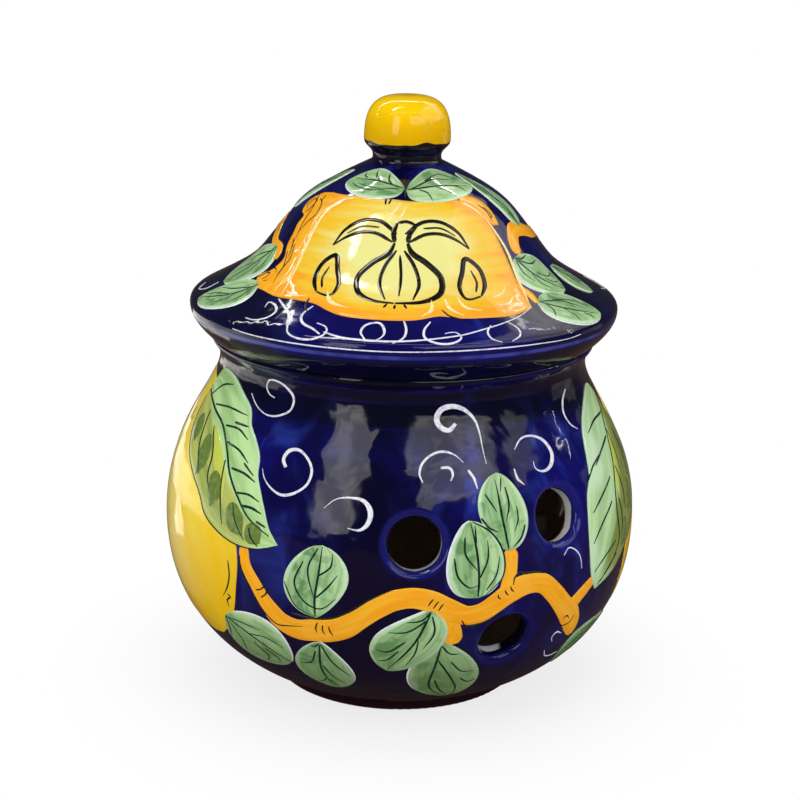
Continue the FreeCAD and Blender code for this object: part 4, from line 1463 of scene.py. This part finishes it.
class KEEPER_OT_paint_branches(bpy.types.Operator):
    """Paint the orange branches round the jar and the lid"""

    bl_idname = "keeper.paint_branches"
    bl_label = "Paint the branches"

    def execute(self, context):
        colours = context.scene.keeper_colours
        width = context.scene.keeper_brushes.outline
        orange = branch_glaze(colours)
        paint_branches("jar_branches", JAR, JAR_BRANCHES, SIDES, orange)
        lines = Brushwork(JAR)
        for side in SIDES:
            for line in BRANCH_MARKS:
                lines.placed(turned(line, side), width, LIFT_BRANCH + LIFT_INK, ends=MARK_ENDS)
        ink = line_glaze("branch_ink", colours.ink, BRANCH_INK)
        lines.build("jar_branch_lines", ink, "black_paint")
        paint_branches("lid_branches", LID, LID_BRANCHES, (0,), orange)
        return {"FINISHED"}


class KEEPER_OT_paint_leaves(bpy.types.Operator):
    """Paint the leaves of the jar and the lid, with the bare white beside them and their dark veins"""

    bl_idname = "keeper.paint_leaves"
    bl_label = "Paint the leaves"

    def execute(self, context):
        colours = context.scene.keeper_colours
        width = context.scene.keeper_brushes.vein
        green = leaf_glaze(colours)
        ink = line_glaze("leaf_ink", colours.ink, LEAF_INK)
        bare = line_glaze("bare_white", colours.scroll, BARE_WHITE)
        dice = random.Random(LEAF_DICE)
        painted = ((JAR, JAR_LEAVES, SIDES, "jar"), (LID, LID_LEAVES, (0,), "lid"))
        for skin, rows, sides, name in painted:
            leaves, lines, white = (Brushwork(skin) for _ in range(3))
            for side in sides:
                for *places, pattern, layer, sliver in rows.values():
                    leaf = almond(skin, *turned(places, side))
                    lift = LIFT_LEAF + LIFT_LAYER * layer
                    leaves.sheet(leaf.left, leaf.right, lift, tone=dice.random())
                    if any(sliver):
                        shift = np.array(sliver)
                        white.sheet(leaf.left + shift, leaf.right + shift, LIFT_SLIVER)
                    veins(lines, leaf, VEINS[pattern], width, lift + LIFT_INK, dice)
            leaves.build(name + "_leaves", green, "leaf_paint")
            white.build(name + "_bare_edges", bare, "white_paint")
            lines.build(name + "_leaf_veins", ink, "black_paint")
        return {"FINISHED"}


class KEEPER_OT_paint_long_leaves(bpy.types.Operator):
    """Paint the long leaves beside the lemons"""

    bl_idname = "keeper.paint_long_leaves"
    bl_label = "Paint the long leaves"

    def execute(self, context):
        colours = context.scene.keeper_colours
        width = context.scene.keeper_brushes.vein
        dice = random.Random(LONG_LEAF_DICE)
        leaves, lines, dabs, gilt = (Brushwork(JAR) for _ in range(4))
        lift = LIFT_LEAF + LIFT_LAYER * LONG_LEAF_LAYER
        over_washes = lift + LIFT_INK + 2 * LIFT_THIN
        washes = (
            (gilt, "gold", GOLD_WIDTHS, lift + LIFT_THIN),
            (dabs, "dabs", DAB_WIDTHS, lift + 2 * LIFT_THIN),
        )
        for side in SIDES:
            for row in LONG_LEAVES:
                left, right = (JAR.line(turned(row[edge], side)) for edge in ("left", "right"))
                leaf = Leaf(left, right, LONG_LEAF_ROWS)
                leaves.sheet(leaf.left, leaf.right, lift, tone=row["tone"])
                for work, name, widths, height in washes:
                    for line in row[name]:
                        places = turned(line, side)
                        work.placed(places, widths, height, tone=dice.random(), fine=WIDE_STROKE)
                for number, line in enumerate(row["veins"]):
                    thick = width * (LONG_MIDRIB if number == 0 else dice.uniform(*LONG_VEINS))
                    lines.placed(turned(line, side), thick, over_washes, ends=LONG_VEIN_ENDS)
                edge = leaf.left if row["outline"] == "left" else leaf.right
                lines.stroke(edge[EDGE_ROWS], width * EDGE_LINE, lift + LIFT_INK, ends=EDGE_LINE_ENDS)
        leaves.build("long_leaves", long_leaf_glaze(colours), "leaf_paint")
        dabs.build("long_leaf_dabs", line_glaze("olive_wash", *OLIVE_WASH), "leaf_paint")
        gold = line_glaze("gold_wash", colours.leaf_gold, GOLD_WASH)
        gilt.build("long_leaf_gold", gold, "leaf_paint")
        ink = line_glaze("long_leaf_ink", colours.ink, LEAF_INK)
        lines.build("long_leaf_veins", ink, "black_paint")
        return {"FINISHED"}


class KEEPER_OT_paint_scrolls(bpy.types.Operator):
    """Paint the white scrolls of the jar and the lid's brim, and a painted highlight along the brim's edge
    """

    bl_idname = "keeper.paint_scrolls"
    bl_label = "Paint the white scrolls"

    def execute(self, context):
        colours = context.scene.keeper_colours
        scale = context.scene.keeper_brushes.scroll
        white = line_glaze("scroll_white", colours.scroll, SCROLL_GREY, SCROLL_ROUGHNESS)
        for skin, rows, name in ((JAR, JAR_SCROLLS, "jar_scrolls"), (LID, BRIM_SCROLLS_AND_HIGHLIGHT, "lid_scrolls_and_highlight")):
            work = Brushwork(skin)
            for side in SIDES:
                for widths, places in rows:
                    widths = np.array(widths) * scale
                    work.placed(turned(places, side), widths, LIFT_SLIVER, ends=SCROLL_ENDS)
            work.build(name, white, "white_paint")
        return {"FINISHED"}


class KEEPER_OT_paint_label(bpy.types.Operator):
    """Paint the yellow label with its rolled ends, and the garlic on it"""

    bl_idname = "keeper.paint_label"
    bl_label = "Paint the label"

    def execute(self, context):
        colours = context.scene.keeper_colours
        brushes = context.scene.keeper_brushes
        panel, rolls, marks, curls = (Brushwork(LID) for _ in range(4))
        grid = coons(*(LID.line(LABEL_EDGES[edge]) for edge in ("bottom", "top", "left", "right")))
        rows, columns = (np.linspace(0, 1, count) for count in LABEL_CELLS)
        columns = np.broadcast_to(columns, LABEL_CELLS)
        panel.add(grid, rows, columns, LIFT_LEMON, LABEL_TONE, LABEL_ON_SHEET)
        panel.build("label", label_glaze(colours), "yellow_glaze")
        for left, right in ROLLS:
            rolls.between(left, right, LIFT_BRANCH, tone=ROLL_TONE)
        rolls.build("label_rolls", branch_glaze(colours), "orange_paint")
        ink = line_glaze("label_ink", *LABEL_INK)
        for line in ROLL_MARKS:
            marks.placed(line, brushes.outline, LIFT_BRANCH + LIFT_INK, ends=MARK_ENDS)
        marks.build("label_marks", ink, "black_paint")
        for widths, places in LABEL_CURLS:
            curls.placed(places, widths, LIFT_BRANCH + LIFT_INK, ends=CURL_ENDS)
        curls.build("label_curls", line_glaze("label_curl_white", *CURL_WHITE), "white_paint")
        self.draw_garlic(ink, brushes.garlic, brushes.garlic_size)
        return {"FINISHED"}

    def draw_garlic(self, ink, weight, size):
        """The bulb, with a clove and a green leaf on each side of it."""
        garlic = Brushwork(LID)
        sketches = list(GARLIC_LINES)
        for side in (-1, 1):
            for width, line in CLOVE_LINES:
                moved = [(side * (CLOVE_SHIFT[0] - x), y + CLOVE_SHIFT[1]) for x, y in line]
                sketches.append((width, moved))
            for width, line in GREEN_LINES:
                sketches.append((width, [(side * x, y) for x, y in line]))
        for width, line in sketches:
            drawn = LID.drawn(GARLIC_PLACE, np.array(line) * size)
            garlic.stroke(drawn, width * weight, LIFT_LEMON + LIFT_INK, ends=GARLIC_ENDS)
        garlic.build("label_garlic", ink, "black_paint")


# ---------------------------------------------------------------- the stage

SENSOR = 36                 # mm
SHIFT = (-0.0024, -0.0126)  # of the sensor's width
CAMERA_AIM = (0, 0, 0.1)
LAMP_AIM = (0, 0, 0.09)
CARD_AIM = (0, 0, 0.08)

FLOOR_HALF = 40             # m
FLOOR_LEVEL = -0.0002       # m, just under the foot
FLOOR_PALE = (0.9, 0.9, 0.9)
FLOOR_BOUNCE = (0.55, 0.55, 0.55)
TABLE_BROWN = (0.13, 0.085, 0.07)
TABLE_PALE = (0.26, 0.24, 0.2)
PALE_PLACE = (-0.2, 0.03, 0)
PALE_REACH = (110, 90)      # mm from that place
SHADOW_REACH = (50, 130)    # mm from the middle of the foot
SHADOW_LEAST = 0.78         # how nearly white the floor is by the foot
MIRRORED_SKY = 0.04         # strength of the even light in the glaze

# soft lamps: place in m, size in m and share of the key light
LAMPS = {
    "key": ((-0.55, -0.95, 0.95), (0.9, 0.9), 1.0),
    "side": ((0.9, -0.6, 0.6), (0.7, 0.7), 0.45),
    "over": ((0.0, 0.2, 1.2), (1.0, 1.0), 0.4),
    "low_left": ((-1.0, -0.5, 0.2), (0.6, 0.3), 0.35),
    "low_right": ((1.0, -0.6, 0.2), (0.6, 0.3), 0.28),
}

# bright strips that hang level for the glaze to mirror: place, size and radiance
STRIPS = {
    "back_strip": ((0.2, 0.28, 0.62), (3.0, 0.015), 22.0),
    "front_strip": ((0.2, -0.34, 0.66), (1.6, 0.014), 9.0),
}

# softly glowing cards: azimuth, elevation, distance, size, radiance and what they hang about
CARDS = {
    "left_window": (-31, 24, 0.9, (0.3, 0.62), 3.0, CARD_AIM),
    "front_window": (31, 33, 0.9, (0.72, 0.34), 2.3, CARD_AIM),
    "near_left_board": (-129, 0, 0.33, (0.2, 0.05), 1.5, (0, 0, 0.03)),
    "neck_left_board": (0, -90, 0.345, (0.49, 0.35), 1.5, (-0.36, 0.075, 0.4)),
    "near_right_board": (110, 0, 0.5, (0.2, 0.2), 0.4, CARD_AIM),
    "low_left_glint": (-135, -89.5, 0.1, (0.045, 0.2), 2.6, (-0.245, 0.14, 0.104)),
    "right_board": (126, 49, 0.9, (0.5, 0.33), 2.0, CARD_AIM),
    "right_wing": (92, 42, 0.5, (0.62, 0.44), 1.5, (0, 0, 0.13)),
    "high_left_spot": (-67, 63, 0.6, (0.1, 0.22), 22.0, (0, 0, 0.16)),
    "high_window": (-58, 76, 0.6, (0.14, 0.11), 4.5, (0, 0, 0.16)),
}


def lamp(name, place, size, power, glossy):
    """A rectangular lamp, for soft light or, where glossy, only for the glaze's highlights."""
    data = bpy.data.lights.new(name, "AREA")
    data.shape = "RECTANGLE"
    data.size, data.size_y = size
    data.energy = power
    piece = bpy.data.objects.new(name, data)
    bpy.context.scene.collection.objects.link(piece)
    piece.location = place
    piece.visible_camera = False
    piece.visible_glossy = glossy
    piece.visible_diffuse = not glossy
    return piece


def glow(name, radiance):
    """A glowing material that fades unevenly towards the edge of its card."""
    glaze = Glaze(name)
    place = glaze.add("ShaderNodeTexCoord").outputs["UV"]
    x, y, _ = glaze.axes(place)
    edge = glaze.math("MAXIMUM", abs(x - 0.5), abs(y - 0.5)) + glaze.noise(5.0, 3.0, place) * 0.14
    cloud = glaze.patches(0.4, 0.6, 3.0, 2.0, vector=place) * 0.45 + 0.55
    lit = glaze.field(0, "ShaderNodeEmission", {"Color": (1.0, 0.97, 0.92), "Strength": radiance})
    clear = glaze.field(0, "ShaderNodeBsdfTransparent")
    return glaze.glow_over(glaze.ramp(edge, 0.56, 0.5) * cloud, clear, lit)


def staged(name, corners, material):
    """A flat piece of the stage."""
    mesh = bpy.data.meshes.new(name)
    mesh.from_pydata(corners, [], [(0, 1, 2, 3)])
    sheet = mesh.uv_layers.new(name="flat")
    sheet.data.foreach_set("uv", np.array([0, 0, 1, 0, 1, 1, 0, 1], np.float32))
    mesh.materials.append(material)
    piece = bpy.data.objects.new(name, mesh)
    bpy.context.scene.collection.objects.link(piece)
    return piece


def corners_of(x, y, z):
    """The corners of a level rectangle about the origin, from half its sides."""
    return [(-x, -y, z), (x, -y, z), (x, y, z), (-x, y, z)]


def card(name, azimuth, elevation, distance, size, radiance, target):
    """A softly glowing card that only the glaze reflects, in a direction from its target."""
    a, e = math.radians(azimuth), math.radians(elevation)
    toward = Vector((math.sin(a) * math.cos(e), -math.cos(a) * math.cos(e), math.sin(e)))
    piece = staged(name, corners_of(size[0] / 2, size[1] / 2, 0), glow(name, radiance))
    piece.location = Vector(target) + toward * distance
    piece.rotation_euler = toward.to_track_quat("Z", "Y").to_euler()
    piece.visible_camera = False
    piece.visible_diffuse = False
    piece.visible_shadow = False
    piece.visible_transmission = False


class KEEPER_OT_set_stage(bpy.types.Operator):
    """Set the floor, the soft light and the camera"""

    bl_idname = "keeper.set_stage"
    bl_label = "Set the stage"

    def execute(self, context):
        settings = context.scene.keeper_stage
        self.lay_floor()
        self.light_evenly(settings)
        self.hang_lights(settings)
        self.place_camera(settings)
        context.scene.view_settings.view_transform = "Standard"
        return {"FINISHED"}

    def lay_floor(self):
        """A wide pale floor with the keeper's shadow, which the glaze mirrors as a brown table."""
        glaze = Glaze("pale_floor")
        path = glaze.add("ShaderNodeLightPath").outputs
        bounced = glaze.mix(path["Is Diffuse Ray"], FLOOR_PALE, FLOOR_BOUNCE)
        pale = glaze.band(glaze.vector("DISTANCE", glaze.place, PALE_PLACE, "Value"), PALE_REACH)
        seen = glaze.mix(path["Is Glossy Ray"], bounced, glaze.mix(pale, TABLE_BROWN, TABLE_PALE))
        far = glaze.band(glaze.vector("LENGTH", glaze.place, (0, 0, 0), "Value"), SHADOW_REACH)
        white = far * (1 - SHADOW_LEAST) + SHADOW_LEAST
        share = glaze.math("MULTIPLY", path["Is Camera Ray"], white)
        diffuse = glaze.field(0, "ShaderNodeBsdfDiffuse", {"Color": seen})
        lit = glaze.field(0, "ShaderNodeEmission", {"Color": (1, 1, 1), "Strength": 1.0})
        material = glaze.glow_over(share, diffuse, lit)
        staged("floor", corners_of(FLOOR_HALF, FLOOR_HALF, FLOOR_LEVEL), material)

    def light_evenly(self, settings):
        """Even light from all round: white to the camera, soft on the keeper and dim in the glaze."""
        world = bpy.data.worlds.new("soft_studio")
        bpy.context.scene.world = world
        world.use_nodes = True
        tree = world.node_tree
        back = tree.nodes["Background"]
        path = tree.nodes.new("ShaderNodeLightPath")
        glossy = tree.nodes.new("ShaderNodeMix")
        glossy.inputs[2].default_value = settings.fill
        glossy.inputs[3].default_value = MIRRORED_SKY
        camera = tree.nodes.new("ShaderNodeMix")
        camera.inputs[3].default_value = 1.0
        tree.links.new(path.outputs["Is Glossy Ray"], glossy.inputs[0])
        tree.links.new(glossy.outputs[0], camera.inputs[2])
        tree.links.new(path.outputs["Is Camera Ray"], camera.inputs[0])
        tree.links.new(camera.outputs[0], back.inputs["Strength"])
        back.inputs["Color"].default_value = (1, 1, 1, 1)

    def hang_lights(self, settings):
        """The soft lamps, and the strips and cards that the glaze mirrors."""
        for name, (place, size, share) in LAMPS.items():
            piece = lamp(name, place, size, settings.key * share, False)
            toward = Vector(LAMP_AIM) - piece.location
            piece.rotation_euler = toward.to_track_quat("-Z", "Y").to_euler()
        for name, (place, size, radiance) in STRIPS.items():
            lamp(name, place, size, radiance * math.pi * size[0] * size[1], True)
        for name, row in CARDS.items():
            card(name, *row)

    def place_camera(self, settings):
        """The camera, a little above the keeper and in front of it."""
        data = bpy.data.cameras.new("camera")
        data.lens = settings.lens
        data.sensor_width = SENSOR
        data.shift_x, data.shift_y = SHIFT
        camera = bpy.data.objects.new("camera", data)
        bpy.context.scene.collection.objects.link(camera)
        tilt = settings.elevation
        away = Vector((0, -math.cos(tilt), math.sin(tilt))) * settings.distance
        camera.location = Vector(CAMERA_AIM) + away
        level = Matrix.Rotation(math.pi / 2 - tilt, 4, "X")
        camera.rotation_euler = (level @ Matrix.Rotation(settings.roll, 4, "Z")).to_euler()
        bpy.context.scene.camera = camera


# ---------------------------------------------------------------- panel and registration

OPERATORS = (
    KEEPER_OT_glaze_turned,
    KEEPER_OT_paint_lemons,
    KEEPER_OT_paint_branches,
    KEEPER_OT_paint_leaves,
    KEEPER_OT_paint_long_leaves,
    KEEPER_OT_paint_scrolls,
    KEEPER_OT_paint_label,
    KEEPER_OT_set_stage,
)


class KEEPER_PT_paint(bpy.types.Panel):
    """Lists the steps that glaze and paint the keeper, with their sizes and colours"""

    bl_idname = "KEEPER_PT_paint"
    bl_label = "Painted Garlic Keeper"
    bl_space_type = "VIEW_3D"
    bl_region_type = "UI"
    bl_category = "Keeper"

    def draw(self, context):
        for key in GROUPS:
            box = self.layout.box()
            group = getattr(context.scene, key)
            for name in group.bl_rna.properties.keys():
                if name not in ("rna_type", "name"):
                    box.prop(group, name)
        for operator in OPERATORS:
            self.layout.operator(operator.bl_idname)


GROUPS = {"keeper_colours": GlazeColours, "keeper_brushes": BrushSizes, "keeper_stage": StageSettings}


def register():
    """Makes the settings, the steps and the panel known to Blender."""
    for name, group in GROUPS.items():
        bpy.utils.register_class(group)
        setattr(bpy.types.Scene, name, PointerProperty(type=group))
    for item in (*OPERATORS, KEEPER_PT_paint):
        bpy.utils.register_class(item)


def unregister():
    """Takes them back out."""
    for item in (KEEPER_PT_paint, *reversed(OPERATORS)):
        bpy.utils.unregister_class(item)
    for name, group in reversed(GROUPS.items()):
        delattr(bpy.types.Scene, name)
        bpy.utils.unregister_class(group)


def main():
    """Glazes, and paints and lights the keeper."""
    register()
    bpy.ops.keeper.glaze_turned()
    bpy.ops.keeper.paint_lemons()
    bpy.ops.keeper.paint_branches()
    bpy.ops.keeper.paint_leaves()
    bpy.ops.keeper.paint_long_leaves()
    bpy.ops.keeper.paint_scrolls()
    bpy.ops.keeper.paint_label()
    bpy.ops.keeper.set_stage()


if __name__ == "__main__":
    main()
